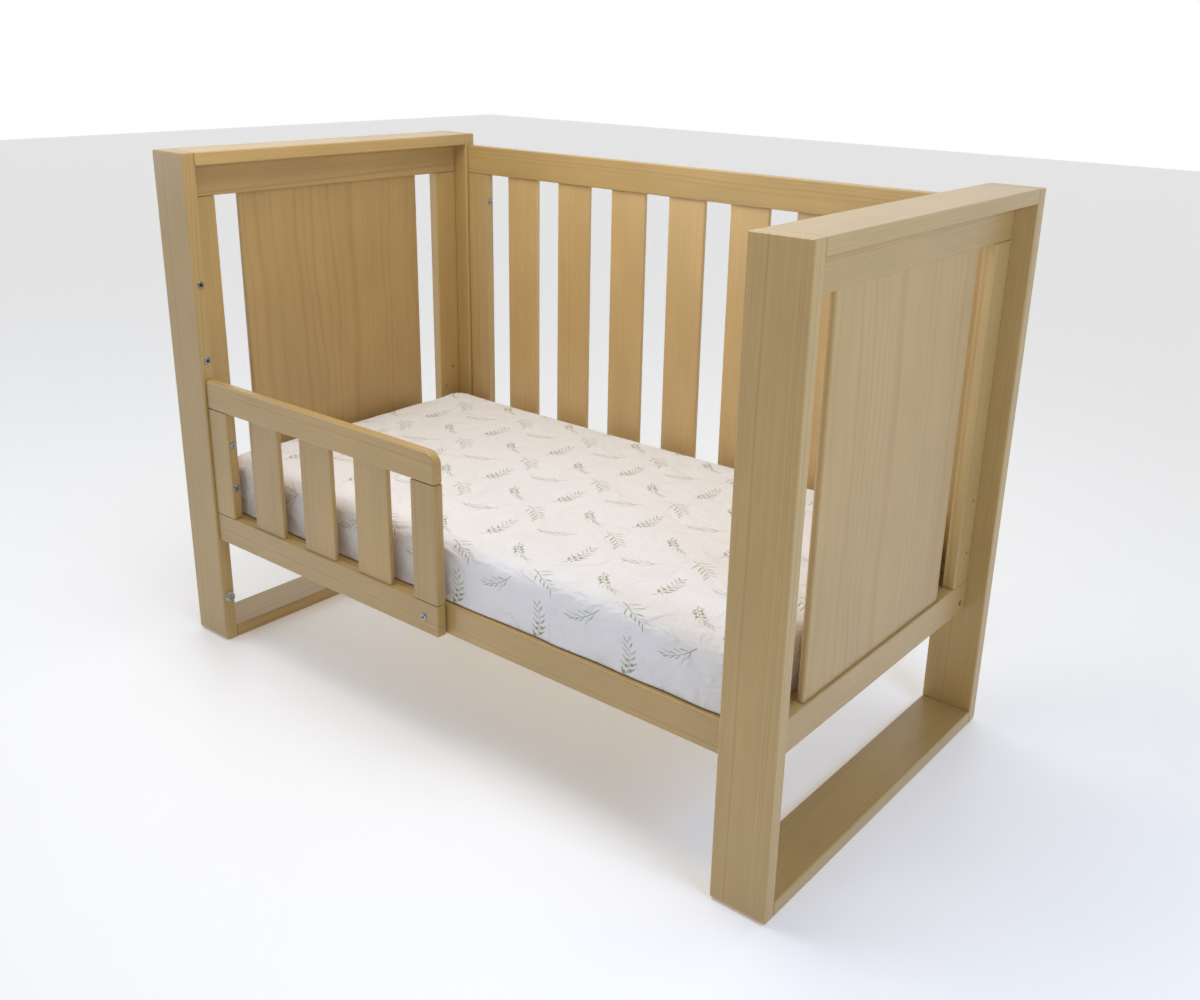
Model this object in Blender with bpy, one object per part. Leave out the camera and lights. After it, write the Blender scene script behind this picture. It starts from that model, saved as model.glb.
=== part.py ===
"""Baby cot with sled-shaped ends, fitted out as a toddler bed.

Two end frames stand on the floor.  Each is a tall loop of four boards (two posts, a top board and a
foot board) around a recessed panel of rails, stiles and one broad board.  A slatted side is fixed
between the rear posts and a short slatted guard to the left front post.  Between the ends lies the
mattress base, which bolts on at one of three heights, and on it the mattress in its fitted sheet.

Metres, +Z up, +X along the cot, -Y is the front.  The origin is on the floor under the middle.
"""
import math

import bmesh
import bpy
from mathutils import Matrix, Vector

# Overall sizes
COT_LENGTH = 1.435
COT_DEPTH = 0.756
COT_HEIGHT = 1.008

# Clearances
GLUE_LINE = 0.0003          # between pieces that touch
BASE_SIDE_CLEARANCE = 0.001     # mattress base to the posts
BASE_END_CLEARANCE = 0.0015     # mattress base to the end panels
BORE_CLEARANCE = 0.0004     # shank to the wall of its hole, on the radius
DRILL_OVERRUN = 0.002       # past a shank's end or a board's far face

# Sled loops of the end frames
POST_WIDTH = 0.098
POST_THICKNESS = 0.027
TOP_BOARD_THICKNESS = 0.025
FOOT_BOARD_THICKNESS = 0.027
LOOP_EDGE_RADIUS = 0.003
HEEL_RADIUS = 0.009         # lower corners of the posts

# Framed panels inside the loops
END_SETBACK = 0.038         # from the loop's outer face
END_FRAME_THICKNESS = 0.023
END_TOP_RAIL_HEIGHT = 0.062
END_PANEL_THICKNESS = 0.012
END_PANEL_SIDE_GAP = 0.057
END_PANEL_EDGE_RADIUS = 0.005

# Rails and stiles shared by the ends, the back and the guard
RAIL_HEIGHT = 0.060
STILE_WIDTH = 0.060
LOW_RAIL_CLEARANCE = 0.232      # floor to the underside of every bottom rail
FRAME_EDGE_RADIUS = 0.0025
SLAT_WIDTH = 0.090
SLAT_THICKNESS = 0.010
SLAT_EDGE_RADIUS = 0.003

# Slatted back side
BACK_THICKNESS = 0.020
BACK_TOP_RAIL_HEIGHT = 0.062
BACK_SLAT_COUNT = 7

# Toddler guard
GUARD_LENGTH = 0.650
GUARD_HEIGHT = 0.340
GUARD_THICKNESS = 0.020
GUARD_REAR_INSET = 0.0015   # its rear face, in front of the posts' inner faces
GUARD_TOP_RAIL_HEIGHT = 0.057
GUARD_CORNER_RADIUS = 0.024
GUARD_SLAT_COUNT = 3

# Mattress base
BASE_RAIL_THICKNESS = 0.020
BASE_RAIL_HEIGHT = 0.058
BASE_SLAT_WIDTH = 0.110
BASE_SLAT_THICKNESS = 0.012
BASE_SLAT_COUNT = 7
BASE_EDGE_RADIUS = 0.002
BASE_HEIGHT_STEP = 0.1015
BASE_EXTRA_HEIGHTS = 2      # holes above the lowest one

# Mattress and fitted sheet
MATTRESS_INSET = 0.005      # inside the base, on every side
MATTRESS_THICKNESS = 0.112
MATTRESS_CORNER_RADIUS = 0.045
MATTRESS_ROLL_RADIUS = 0.022
SHEET_THICKNESS = 0.001
SHEET_HEM_LIFT = 0.002      # hem above the mattress base

# Furniture bolts, inserts and the bumper
BOLT_HEAD_RADIUS = 0.007
BOLT_HEAD_HEIGHT = 0.0022
BOLT_RIM = 0.0005
BOLT_DISH_SHARE = 0.6       # of the head's radius
BOLT_SHANK_RADIUS = 0.003
BOLT_REACH = 0.025          # shank inside the last piece it enters
HEX_KEY_SIZE = 0.004        # across the flats
HEX_KEY_DEPTH = 0.0016
GUARD_BOLT_DROP = 0.123     # guard's top to its upper bolt
GUARD_BOLT_SPACING = 0.091
GUARD_RAIL_BOLT_INSET = 0.036   # from the guard's free end
BASE_BOLT_RISE = 0.020      # above the bottom rail's underside
BASE_BOLT_HEAD_RADIUS = 0.005
INSERT_RISES = (0.038, 0.188)   # above the guard's top
INSERT_BODY_RADIUS = 0.005
INSERT_FLANGE_RADIUS = 0.0075
INSERT_THREAD_RADIUS = 0.0031
INSERT_LENGTH = 0.013
INSERT_FLANGE_HEIGHT = 0.0012
BUMPER_HEIGHT = 0.099       # floor to its centre
BUMPER_RADIUS = 0.010
BUMPER_THICKNESS = 0.008
BUMPER_SCREW_RADIUS = 0.0035

# Places that follow from the sizes above
FRONT = -COT_DEPTH / 2
REAR = COT_DEPTH / 2
BETWEEN_POSTS = (FRONT + POST_THICKNESS, REAR - POST_THICKNESS)
POST_FACE = COT_LENGTH / 2 - POST_WIDTH             # inner face of a post, from the middle
END_OUTER_FACE = COT_LENGTH / 2 - END_SETBACK
END_INNER_FACE = END_OUTER_FACE - END_FRAME_THICKNESS
TOP_BOARD_UNDERSIDE = COT_HEIGHT - TOP_BOARD_THICKNESS
LOW_RAIL_TOP = LOW_RAIL_CLEARANCE + RAIL_HEIGHT
GUARD_LEFT = -POST_FACE
GUARD_RIGHT = GUARD_LEFT + GUARD_LENGTH
GUARD_TOP = LOW_RAIL_CLEARANCE + GUARD_HEIGHT
GUARD_MIDDLE = BETWEEN_POSTS[0] - GUARD_REAR_INSET - GUARD_THICKNESS / 2
BASE_HALF_LENGTH = END_INNER_FACE - BASE_END_CLEARANCE
BASE_HALF_DEPTH = BETWEEN_POSTS[1] - BASE_SIDE_CLEARANCE
BASE_TOP = LOW_RAIL_CLEARANCE + BASE_RAIL_HEIGHT
MATTRESS_BOTTOM = BASE_TOP + GLUE_LINE
MATTRESS_TOP = MATTRESS_BOTTOM + MATTRESS_THICKNESS
BASE_BOLT_HEIGHT = LOW_RAIL_CLEARANCE + BASE_BOLT_RISE
BASE_BOLT_OFFSET = BASE_HALF_DEPTH - BASE_RAIL_THICKNESS    # from the middle, front and rear

PINE = ("#C9A672", 0.45, 0.0)
PINE_PANEL = ("#C4A069", 0.45, 0.0)
PINE_BASE = ("#CDB083", 0.60, 0.0)
SHEET_COTTON = ("#E9E4DE", 0.90, 0.0)
TICKING = ("#F0EEEA", 0.90, 0.0)
ZINC = ("#B9BABB", 0.35, 1.0)
STEEL_SCREW = ("#8E8F91", 0.35, 1.0)
CLEAR_PLASTIC = ("#DDE0DC", 0.15, 0.0)

X_AXIS = Vector((1, 0, 0))
Y_AXIS = Vector((0, 1, 0))
Z_AXIS = Vector((0, 0, 1))


def clear_scene():
    """Remove everything that the file opened with."""
    for item in list(bpy.data.objects):
        bpy.data.objects.remove(item, do_unlink=True)


def linear(channel):
    """Turn one sRGB channel, 0 to 1, into its linear value."""
    if channel <= 0.04045:
        return channel / 12.92
    return ((channel + 0.055) / 1.055) ** 2.4


def give_material(item, look):
    """Give an object a Principled material of its own."""
    colour, roughness, metallic = look
    channels = [int(colour[i:i + 2], 16) / 255 for i in (1, 3, 5)]
    material = bpy.data.materials.new(item.name)
    material.use_nodes = True
    shader = material.node_tree.nodes["Principled BSDF"]
    shader.inputs["Base Color"].default_value = [linear(c) for c in channels] + [1.0]
    shader.inputs["Roughness"].default_value = roughness
    shader.inputs["Metallic"].default_value = metallic
    item.data.materials.append(material)


def add_object(name, shape, look, centre):
    """Make an object from a bmesh drawn about its own origin, and put it at centre."""
    mesh = bpy.data.meshes.new(name)
    shape.to_mesh(mesh)
    shape.free()
    item = bpy.data.objects.new(name, mesh)
    bpy.context.scene.collection.objects.link(item)
    item.location = centre
    give_material(item, look)
    return item


def round_edges(shape, direction, radius, segments, corner=None):
    """Round a box's edges along direction: all four, or the one on the side that corner points to."""
    chosen = []
    for edge in shape.edges:
        first, second = (vertex.co for vertex in edge.verts)
        along = (second - first).normalized()
        middle = (first + second) / 2
        if abs(along.dot(direction)) < 0.99:
            continue
        if corner is None or all(middle[i] * corner[i] > 0 for i in range(3) if corner[i]):
            chosen.append(edge)
    bmesh.ops.bevel(shape, geom=chosen, offset=radius, segments=segments, profile=0.5,
                    affect='EDGES', clamp_overlap=True)


def add_board(name, x, y, z, look=PINE, edge=0.0, steps=1, rounds=()):
    """A board that fills the box x by y by z, with all its edges eased by edge."""
    low = Vector(min(pair) for pair in (x, y, z))
    high = Vector(max(pair) for pair in (x, y, z))
    shape = bmesh.new()
    bmesh.ops.create_cube(shape, size=1.0, matrix=Matrix.Diagonal((*(high - low), 1.0)))
    for direction, radius, segments, corner in rounds:
        round_edges(shape, direction, radius, segments, corner)
    item = add_object(name, shape, look, (low + high) / 2)
    if edge:
        ease = item.modifiers.new("eased edges", 'BEVEL')
        ease.width = edge
        ease.segments = steps
        ease.limit_method = 'ANGLE'
        ease.angle_limit = math.radians(40)
    return item


def drill(item, mouth, direction, radius, depth, sides=16):
    """Bore a round hole into item from mouth, along direction."""
    shape = bmesh.new()
    bmesh.ops.create_cone(shape, cap_ends=True, segments=sides, radius1=radius, radius2=radius,
                          depth=depth + DRILL_OVERRUN)
    cutter = add_object(f"{item.name} bore {len(item.modifiers)}", shape, ZINC,
                        mouth + direction * (depth - DRILL_OVERRUN) / 2)
    cutter.rotation_mode = 'QUATERNION'
    cutter.rotation_quaternion = Z_AXIS.rotation_difference(direction)
    cutter.hide_render = True
    cutter.display_type = 'WIRE'
    bore = item.modifiers.new("bore", 'BOOLEAN')
    bore.operation = 'DIFFERENCE'
    bore.solver = 'EXACT'
    bore.object = cutter


def add_turned(name, outline, seat, direction, look, sides=16):
    """Turn a closed outline of (radius, height) points about direction, standing on seat."""
    shape = bmesh.new()
    points = [shape.verts.new((radius, 0, height)) for radius, height in outline]
    for start, end in zip(points, points[1:]):
        shape.edges.new((start, end))
    if outline[0][0] > 0:
        shape.edges.new((points[-1], points[0]))
    bmesh.ops.spin(shape, geom=list(shape.verts) + list(shape.edges), axis=(0, 0, 1), cent=(0, 0, 0),
                   angle=math.tau, steps=sides, use_duplicate=False)
    bmesh.ops.remove_doubles(shape, verts=list(shape.verts), dist=1e-6)
    bmesh.ops.recalc_face_normals(shape, faces=list(shape.faces))
    item = add_object(name, shape, look, seat)
    item.rotation_mode = 'QUATERNION'
    item.rotation_quaternion = Z_AXIS.rotation_difference(direction)
    item.data.shade_smooth()
    item.data.set_sharp_from_angle(angle=math.radians(35))
    return item


def add_bolt(name, seat, direction, length, head_radius=BOLT_HEAD_RADIUS):
    """A furniture bolt with a dished head and a hex socket, standing on seat; its shank is behind it."""
    outline = [
        (0, -length),
        (BOLT_SHANK_RADIUS, -length),
        (BOLT_SHANK_RADIUS, GLUE_LINE),
        (head_radius, GLUE_LINE),
        (head_radius, BOLT_HEAD_HEIGHT - 2 * BOLT_RIM),
        (head_radius - BOLT_RIM, BOLT_HEAD_HEIGHT - BOLT_RIM),
        (head_radius * BOLT_DISH_SHARE, BOLT_HEAD_HEIGHT),
        (0, BOLT_HEAD_HEIGHT),
    ]
    bolt = add_turned(name, outline, seat, direction, ZINC)
    drill(bolt, seat + direction * BOLT_HEAD_HEIGHT, -direction, HEX_KEY_SIZE / math.sqrt(3),
          HEX_KEY_DEPTH, sides=6)
    return bolt


def between(first, last, count, width):
    """Centres of count boards of one width, spread with equal gaps between first and last."""
    gap = (last - first - count * width) / (count + 1)
    return [first + gap + width / 2 + i * (gap + width) for i in range(count)]


def inset(interval, margin=GLUE_LINE):
    """An interval made shorter by margin at both ends."""
    return (interval[0] + margin, interval[1] - margin)


def centred(middle, thickness):
    """The interval of one thickness about middle."""
    return (middle - thickness / 2, middle + thickness / 2)


def build_loop(side, side_name):
    """One sled loop: two posts with the top board and the foot board between them."""
    width = (side * POST_FACE, side * COT_LENGTH / 2)
    posts = {}
    for end_name, depth in (("front", (FRONT, BETWEEN_POSTS[0])), ("rear", (BETWEEN_POSTS[1], REAR))):
        heels = [(Y_AXIS, HEEL_RADIUS, 3, (x, 0, -1)) for x in (-1, 1)]
        posts[end_name] = add_board(f"{side_name}_{end_name}_post", width, depth, (0, COT_HEIGHT),
                                    edge=LOOP_EDGE_RADIUS, steps=2, rounds=heels)
    depth = inset(BETWEEN_POSTS)
    add_board(f"{side_name}_top_board", width, depth, (TOP_BOARD_UNDERSIDE, COT_HEIGHT),
              edge=LOOP_EDGE_RADIUS, steps=2)
    add_board(f"{side_name}_foot_board", width, depth, (0, FOOT_BOARD_THICKNESS),
              edge=LOOP_EDGE_RADIUS, steps=2)
    return posts


def build_end_panel(side, side_name):
    """The framed panel inside one loop, with the bolts that hold the mattress base."""
    thickness = (side * END_INNER_FACE, side * END_OUTER_FACE)
    depth = inset(BETWEEN_POSTS)
    top_rail_bottom = TOP_BOARD_UNDERSIDE - GLUE_LINE - END_TOP_RAIL_HEIGHT
    opening = (LOW_RAIL_TOP + GLUE_LINE, top_rail_bottom - GLUE_LINE)
    add_board(f"{side_name}_end_top_rail", thickness, depth,
              (top_rail_bottom, TOP_BOARD_UNDERSIDE - GLUE_LINE), edge=FRAME_EDGE_RADIUS)
    bottom_rail = add_board(f"{side_name}_end_bottom_rail", thickness, depth,
                            (LOW_RAIL_CLEARANCE, LOW_RAIL_TOP), edge=FRAME_EDGE_RADIUS)
    outward = side * X_AXIS
    for end, end_name in ((-1, "front"), (1, "rear")):
        post_face = end * depth[1]
        stile = add_board(f"{side_name}_end_{end_name}_stile", thickness,
                          (post_face, post_face - end * STILE_WIDTH), opening, edge=FRAME_EDGE_RADIUS)
        bolt_seat = Vector((side * END_OUTER_FACE, end * BASE_BOLT_OFFSET, BASE_BOLT_HEIGHT))
        for step in range(1, BASE_EXTRA_HEIGHTS + 1):
            mouth = bolt_seat + Z_AXIS * step * BASE_HEIGHT_STEP
            drill(stile, mouth, -outward, BOLT_SHANK_RADIUS + BORE_CLEARANCE,
                  END_FRAME_THICKNESS + DRILL_OVERRUN)
        drill(bottom_rail, bolt_seat, -outward, BOLT_SHANK_RADIUS + BORE_CLEARANCE,
              END_FRAME_THICKNESS + DRILL_OVERRUN)
        add_bolt(f"{side_name}_{end_name}_base_bolt", bolt_seat, outward,
                 END_FRAME_THICKNESS - GLUE_LINE, BASE_BOLT_HEAD_RADIUS)
    half_width = BETWEEN_POSTS[1] - STILE_WIDTH - END_PANEL_SIDE_GAP
    middle = side * (END_INNER_FACE + END_OUTER_FACE) / 2
    add_board(f"{side_name}_end_panel", centred(middle, END_PANEL_THICKNESS),
              (-half_width, half_width), opening, look=PINE_PANEL,
              rounds=[(Z_AXIS, END_PANEL_EDGE_RADIUS, 3, None)])


def build_back():
    """The slatted side between the rear posts, flush with their rear faces."""
    depth = (REAR - BACK_THICKNESS, REAR)
    length = inset((-POST_FACE, POST_FACE))
    top_rail_bottom = TOP_BOARD_UNDERSIDE - BACK_TOP_RAIL_HEIGHT
    opening = (LOW_RAIL_TOP + GLUE_LINE, top_rail_bottom - GLUE_LINE)
    add_board("back_top_rail", length, depth, (top_rail_bottom, TOP_BOARD_UNDERSIDE),
              edge=FRAME_EDGE_RADIUS)
    add_board("back_bottom_rail", length, depth, (LOW_RAIL_CLEARANCE, LOW_RAIL_TOP),
              edge=FRAME_EDGE_RADIUS)
    for end, name in ((-1, "left"), (1, "right")):
        add_board(f"back_{name}_stile", (end * length[1], end * (length[1] - STILE_WIDTH)), depth,
                  opening, edge=FRAME_EDGE_RADIUS)
    slat_depth = centred(REAR - BACK_THICKNESS / 2, SLAT_THICKNESS)
    clear = length[1] - STILE_WIDTH
    for number, middle in enumerate(between(-clear, clear, BACK_SLAT_COUNT, SLAT_WIDTH), 1):
        add_board(f"back_slat_{number}", centred(middle, SLAT_WIDTH), slat_depth, opening,
                  rounds=[(Z_AXIS, SLAT_EDGE_RADIUS, 2, None)])


def build_guard(post):
    """The short guard at the front left, bolted to the left front post."""
    depth = centred(GUARD_MIDDLE, GUARD_THICKNESS)
    length = (GUARD_LEFT + GLUE_LINE, GUARD_RIGHT)
    top_rail_bottom = GUARD_TOP - GUARD_TOP_RAIL_HEIGHT
    opening = (LOW_RAIL_TOP + GLUE_LINE, top_rail_bottom - GLUE_LINE)
    add_board("guard_top_rail", length, depth, (top_rail_bottom, GUARD_TOP), edge=LOOP_EDGE_RADIUS,
              steps=2, rounds=[(Y_AXIS, GUARD_CORNER_RADIUS, 5, (1, 0, 1))])
    bottom_rail = add_board("guard_bottom_rail", length, depth, (LOW_RAIL_CLEARANCE, LOW_RAIL_TOP),
                            edge=FRAME_EDGE_RADIUS)
    stile_face = length[0] + STILE_WIDTH
    left_stile = add_board("guard_left_stile", (length[0], stile_face), depth, opening,
                           edge=FRAME_EDGE_RADIUS)
    add_board("guard_right_stile", (GUARD_RIGHT - STILE_WIDTH, GUARD_RIGHT), depth, opening,
              edge=FRAME_EDGE_RADIUS)
    slats = between(stile_face, GUARD_RIGHT - STILE_WIDTH, GUARD_SLAT_COUNT, SLAT_WIDTH)
    for number, middle in enumerate(slats, 1):
        add_board(f"guard_slat_{number}", centred(middle, SLAT_WIDTH),
                  centred(GUARD_MIDDLE, SLAT_THICKNESS), opening,
                  rounds=[(Z_AXIS, SLAT_EDGE_RADIUS, 2, None)])
    bore = BOLT_SHANK_RADIUS + BORE_CLEARANCE
    for number, name in enumerate(("upper", "lower")):
        height = GUARD_TOP - GUARD_BOLT_DROP - number * GUARD_BOLT_SPACING
        seat = Vector((stile_face, GUARD_MIDDLE, height))
        drill(left_stile, seat, -X_AXIS, bore, STILE_WIDTH + DRILL_OVERRUN)
        drill(post, Vector((GUARD_LEFT, GUARD_MIDDLE, height)), -X_AXIS, bore,
              BOLT_REACH + DRILL_OVERRUN)
        add_bolt(f"guard_{name}_bolt", seat, X_AXIS, STILE_WIDTH + BOLT_REACH)
    seat = Vector((GUARD_RIGHT - GUARD_RAIL_BOLT_INSET, depth[0], LOW_RAIL_CLEARANCE + RAIL_HEIGHT / 2))
    drill(bottom_rail, seat, Y_AXIS, bore, GUARD_THICKNESS + DRILL_OVERRUN)
    add_bolt("guard_rail_bolt", seat, -Y_AXIS, GUARD_THICKNESS - GLUE_LINE)


def build_post_fittings(post):
    """The two threaded inserts and the clear bumper on the left front post's inner face."""
    face = Vector((-POST_FACE, GUARD_MIDDLE, 0))
    outline = [
        (INSERT_THREAD_RADIUS, -INSERT_LENGTH),
        (INSERT_BODY_RADIUS, -INSERT_LENGTH),
        (INSERT_BODY_RADIUS, GLUE_LINE),
        (INSERT_FLANGE_RADIUS, GLUE_LINE),
        (INSERT_FLANGE_RADIUS, INSERT_FLANGE_HEIGHT),
        (INSERT_THREAD_RADIUS, INSERT_FLANGE_HEIGHT),
    ]
    for name, rise in zip(("lower", "upper"), INSERT_RISES):
        seat = face + Z_AXIS * (GUARD_TOP + rise)
        drill(post, seat, -X_AXIS, INSERT_BODY_RADIUS + BORE_CLEARANCE, INSERT_LENGTH + DRILL_OVERRUN)
        add_turned(f"{name}_side_insert", outline, seat, X_AXIS, ZINC)
    rim = BUMPER_THICKNESS / 4
    outline = [
        (0, GLUE_LINE),
        (BUMPER_RADIUS, GLUE_LINE),
        (BUMPER_RADIUS, BUMPER_THICKNESS - rim),
        (BUMPER_RADIUS - rim, BUMPER_THICKNESS),
        (BUMPER_SCREW_RADIUS, BUMPER_THICKNESS),
        (BUMPER_SCREW_RADIUS, BUMPER_THICKNESS / 2),
        (0, BUMPER_THICKNESS / 2),
    ]
    add_turned("post_bumper", outline, face + Z_AXIS * BUMPER_HEIGHT, X_AXIS, CLEAR_PLASTIC)


def build_base():
    """The mattress base: four rails and the slats let in flush with their tops."""
    height = (LOW_RAIL_CLEARANCE, BASE_TOP)
    length = (-BASE_HALF_LENGTH, BASE_HALF_LENGTH)
    inner_depth = BASE_HALF_DEPTH - BASE_RAIL_THICKNESS
    inner_length = BASE_HALF_LENGTH - BASE_RAIL_THICKNESS
    for end, name in ((-1, "front"), (1, "rear")):
        add_board(f"base_{name}_rail", length, (end * inner_depth, end * BASE_HALF_DEPTH), height,
                  look=PINE, edge=BASE_EDGE_RADIUS)
    across = inset((-inner_depth, inner_depth))
    for side, name in ((-1, "left"), (1, "right")):
        add_board(f"base_{name}_rail", (side * inner_length, side * BASE_HALF_LENGTH), across, height,
                  look=PINE_BASE, edge=BASE_EDGE_RADIUS)
    slats = between(-inner_length, inner_length, BASE_SLAT_COUNT, BASE_SLAT_WIDTH)
    for number, middle in enumerate(slats, 1):
        add_board(f"base_slat_{number}", centred(middle, BASE_SLAT_WIDTH), across,
                  (BASE_TOP - BASE_SLAT_THICKNESS, BASE_TOP), look=PINE_BASE, edge=BASE_EDGE_RADIUS)


def add_ring(shape, half_length, half_depth, corner, height, steps=5):
    """A rounded rectangle of vertices at one height, anticlockwise from above."""
    ring = []
    for quarter, (x, y) in enumerate(((1, 1), (-1, 1), (-1, -1), (1, -1))):
        centre = Vector((x * (half_length - corner), y * (half_depth - corner), height))
        for step in range(steps + 1):
            angle = math.pi / 2 * (quarter + step / steps)
            ring.append(shape.verts.new(centre + corner * Vector((math.cos(angle), math.sin(angle), 0))))
    return ring


def add_rolled_block(name, half_length, half_depth, bottom, top, corner, roll, look, open_below=False):
    """A block with rounded corners and rolled top edges; open_below leaves a skin with no bottom."""
    shape = bmesh.new()
    rings = []
    levels = [(0.0, bottom)]
    for step in range(4):
        angle = math.pi / 2 * step / 3
        levels.append((roll * (1 - math.cos(angle)), top - roll * (1 - math.sin(angle))))
    for margin, height in levels:
        rings.append(add_ring(shape, half_length - margin, half_depth - margin, corner - margin, height))
    for lower, upper in zip(rings, rings[1:]):
        for i, vertex in enumerate(lower):
            j = (i + 1) % len(lower)
            shape.faces.new((vertex, lower[j], upper[j], upper[i]))
    shape.faces.new(rings[-1])
    if not open_below:
        shape.faces.new(reversed(rings[0]))
    return add_object(name, shape, look, (0, 0, 0))


def build_mattress():
    """The mattress and, around its top and sides, the fitted sheet."""
    half_length = BASE_HALF_LENGTH - MATTRESS_INSET
    half_depth = BASE_HALF_DEPTH - MATTRESS_INSET
    add_rolled_block("mattress", half_length, half_depth, MATTRESS_BOTTOM, MATTRESS_TOP,
                     MATTRESS_CORNER_RADIUS, MATTRESS_ROLL_RADIUS, TICKING)
    sheet = add_rolled_block("fitted_sheet", half_length + GLUE_LINE, half_depth + GLUE_LINE,
                             MATTRESS_BOTTOM + SHEET_HEM_LIFT, MATTRESS_TOP + GLUE_LINE,
                             MATTRESS_CORNER_RADIUS + GLUE_LINE, MATTRESS_ROLL_RADIUS + GLUE_LINE,
                             SHEET_COTTON, open_below=True)
    cloth = sheet.modifiers.new("cloth", 'SOLIDIFY')
    cloth.thickness = SHEET_THICKNESS
    cloth.offset = 1.0


def build_cot():
    """Build the whole cot."""
    clear_scene()
    posts = {}
    for side, side_name in ((-1, "left"), (1, "right")):
        posts[side_name] = build_loop(side, side_name)
        build_end_panel(side, side_name)
    build_back()
    build_guard(posts["left"]["front"])
    build_post_fittings(posts["left"]["front"])
    build_base()
    build_mattress()


build_cot()
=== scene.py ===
# %% [markdown]
# # A cot with sled ends, fitted out as a toddler bed
#
# The real cot is lacquered pine. Two closed loops of flat board carry the ends, a slatted back side and a
# half-length guard are bolted between them, and a boxed base holds a mattress in a printed fitted sheet.
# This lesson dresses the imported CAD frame: it makes each board with eased edges and its own grain, lets
# Geometry Nodes lay out slats and fittings, and lets a cloth simulation shape the mattress.
# Everything is in metres. X runs along the length, Y from front to back, and Z upwards from the floor.

# %% Load the frame
import math
import random

import bmesh
import bpy
import numpy as np
from mathutils import Matrix, Vector, noise


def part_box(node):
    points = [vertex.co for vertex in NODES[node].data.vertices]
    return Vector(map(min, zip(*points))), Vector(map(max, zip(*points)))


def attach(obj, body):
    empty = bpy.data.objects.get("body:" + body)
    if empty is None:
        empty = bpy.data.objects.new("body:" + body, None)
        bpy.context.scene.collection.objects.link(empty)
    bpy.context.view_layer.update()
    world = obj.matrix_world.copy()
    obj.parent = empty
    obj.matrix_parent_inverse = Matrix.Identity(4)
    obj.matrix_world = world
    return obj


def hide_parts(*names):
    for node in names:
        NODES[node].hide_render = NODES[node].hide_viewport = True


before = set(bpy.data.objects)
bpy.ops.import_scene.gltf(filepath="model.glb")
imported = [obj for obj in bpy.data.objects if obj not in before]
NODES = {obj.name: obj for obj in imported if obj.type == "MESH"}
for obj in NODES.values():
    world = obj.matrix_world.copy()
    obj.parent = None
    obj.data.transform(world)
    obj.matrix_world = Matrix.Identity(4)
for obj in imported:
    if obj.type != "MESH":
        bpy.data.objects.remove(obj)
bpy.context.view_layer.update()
scene = bpy.context.scene
scene.view_settings.view_transform = 'Standard'
print("the packed frame has", len(NODES), "boards, fittings and soft solids")

# %% [markdown]
# ## Where the viewer stands
#
# The camera stands off the right front corner, a little above the top boards, and looks down and across
# the bed to the left end. Its direction is given as a turn, a tilt and a small roll, and a matrix made of
# its own right, up and backward axes places it exactly. A long lens could be used from further away, but
# this distance gives the strong taper of the near post.

# %% The camera
EYE = Vector((1.43231, -1.65342, 1.23736))
TURN, TILT, LEAN = -0.67356, -0.33863, 0.02200

ahead = Vector((math.sin(TURN) * math.cos(TILT), math.cos(TURN) * math.cos(TILT), math.sin(TILT)))
level_right = ahead.cross(Vector((0, 0, 1))).normalized()
level_up = level_right.cross(ahead)
right = level_right * math.cos(LEAN) + level_up * math.sin(LEAN)
up = level_up * math.cos(LEAN) - level_right * math.sin(LEAN)

lens = bpy.data.cameras.new("camera")
lens.lens = 36.1856
lens.sensor_width = 36.0
lens.shift_x = -0.010545
lens.shift_y = -0.03687
camera = bpy.data.objects.new("camera", lens)
camera.matrix_world = Matrix.Translation(EYE) @ Matrix((right, up, -ahead)).transposed().to_4x4()
scene.collection.objects.link(camera)
scene.camera = camera
print("the camera is", round(EYE.length, 2), "m from the middle of the floor under the cot")

# %% [markdown]
# ## Helpers for every material
#
# A colour given in hex is sRGB, and shaders want linear light, so one function turns a hex colour into
# linear values. One fills a node's sockets with values or links, and one adds a node and fills it. A node
# given as a value stands for its first output, which keeps long formulas readable. The last one starts a
# material and hands over its shader, which is filled at the end like any other node.

# %% Colour and node helpers
def linear(hex_colour):
    """Turn an sRGB hex colour into linear red, green, blue and alpha."""
    channels = [int(hex_colour[i:i + 2], 16) / 255 for i in (1, 3, 5)]
    return [c / 12.92 if c <= 0.04045 else ((c + 0.055) / 1.055) ** 2.4 for c in channels] + [1.0]


def fill(node, inputs):
    """Fill a node's inputs with values, sockets or other nodes."""
    for key, value in inputs.items():
        if isinstance(value, bpy.types.Node):
            value = value.outputs[0]
        if isinstance(value, bpy.types.NodeSocket):
            node.id_data.links.new(value, node.inputs[key])
        else:
            node.inputs[key].default_value = value


def add(tree, kind, inputs=None, **settings):
    """Add one node with its settings, and fill its inputs."""
    made = tree.nodes.new(kind)
    for name, value in settings.items():
        setattr(made, name, value)
    fill(made, inputs or {})
    return made


def start_material(name):
    """A new material, its node tree and its shader."""
    material = bpy.data.materials.new(name)
    material.use_nodes = True
    return material, material.node_tree, material.node_tree.nodes["Principled BSDF"]


MATH = "ShaderNodeMath"
VECTOR = "ShaderNodeVectorMath"
print("a mid grey of #808080 is", round(linear("#808080")[0], 3), "in linear light")

# %% [markdown]
# ## Satin-lacquered pine
#
# The boards are planed pine under a clear satin lacquer. The eye reads three things: soft, pale spring
# wood between thin, warmer bands of summer wood, fine fibres along the board, and a slight sheen that the
# lacquer lays over both. A flat picture could be stretched over each board, but a solid pattern is truer.
# Growth rings are cylinders about the pith of the log, so each point of a board remembers where it lay in
# its log. Faces then show lines or arches, and ends show arcs, as if the board had been sawn out of it.
# The rings are 2.6 to 3.8 mm apart, and the fibres, really 0.05 mm, are drawn about 1 mm wide so they show.

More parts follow.
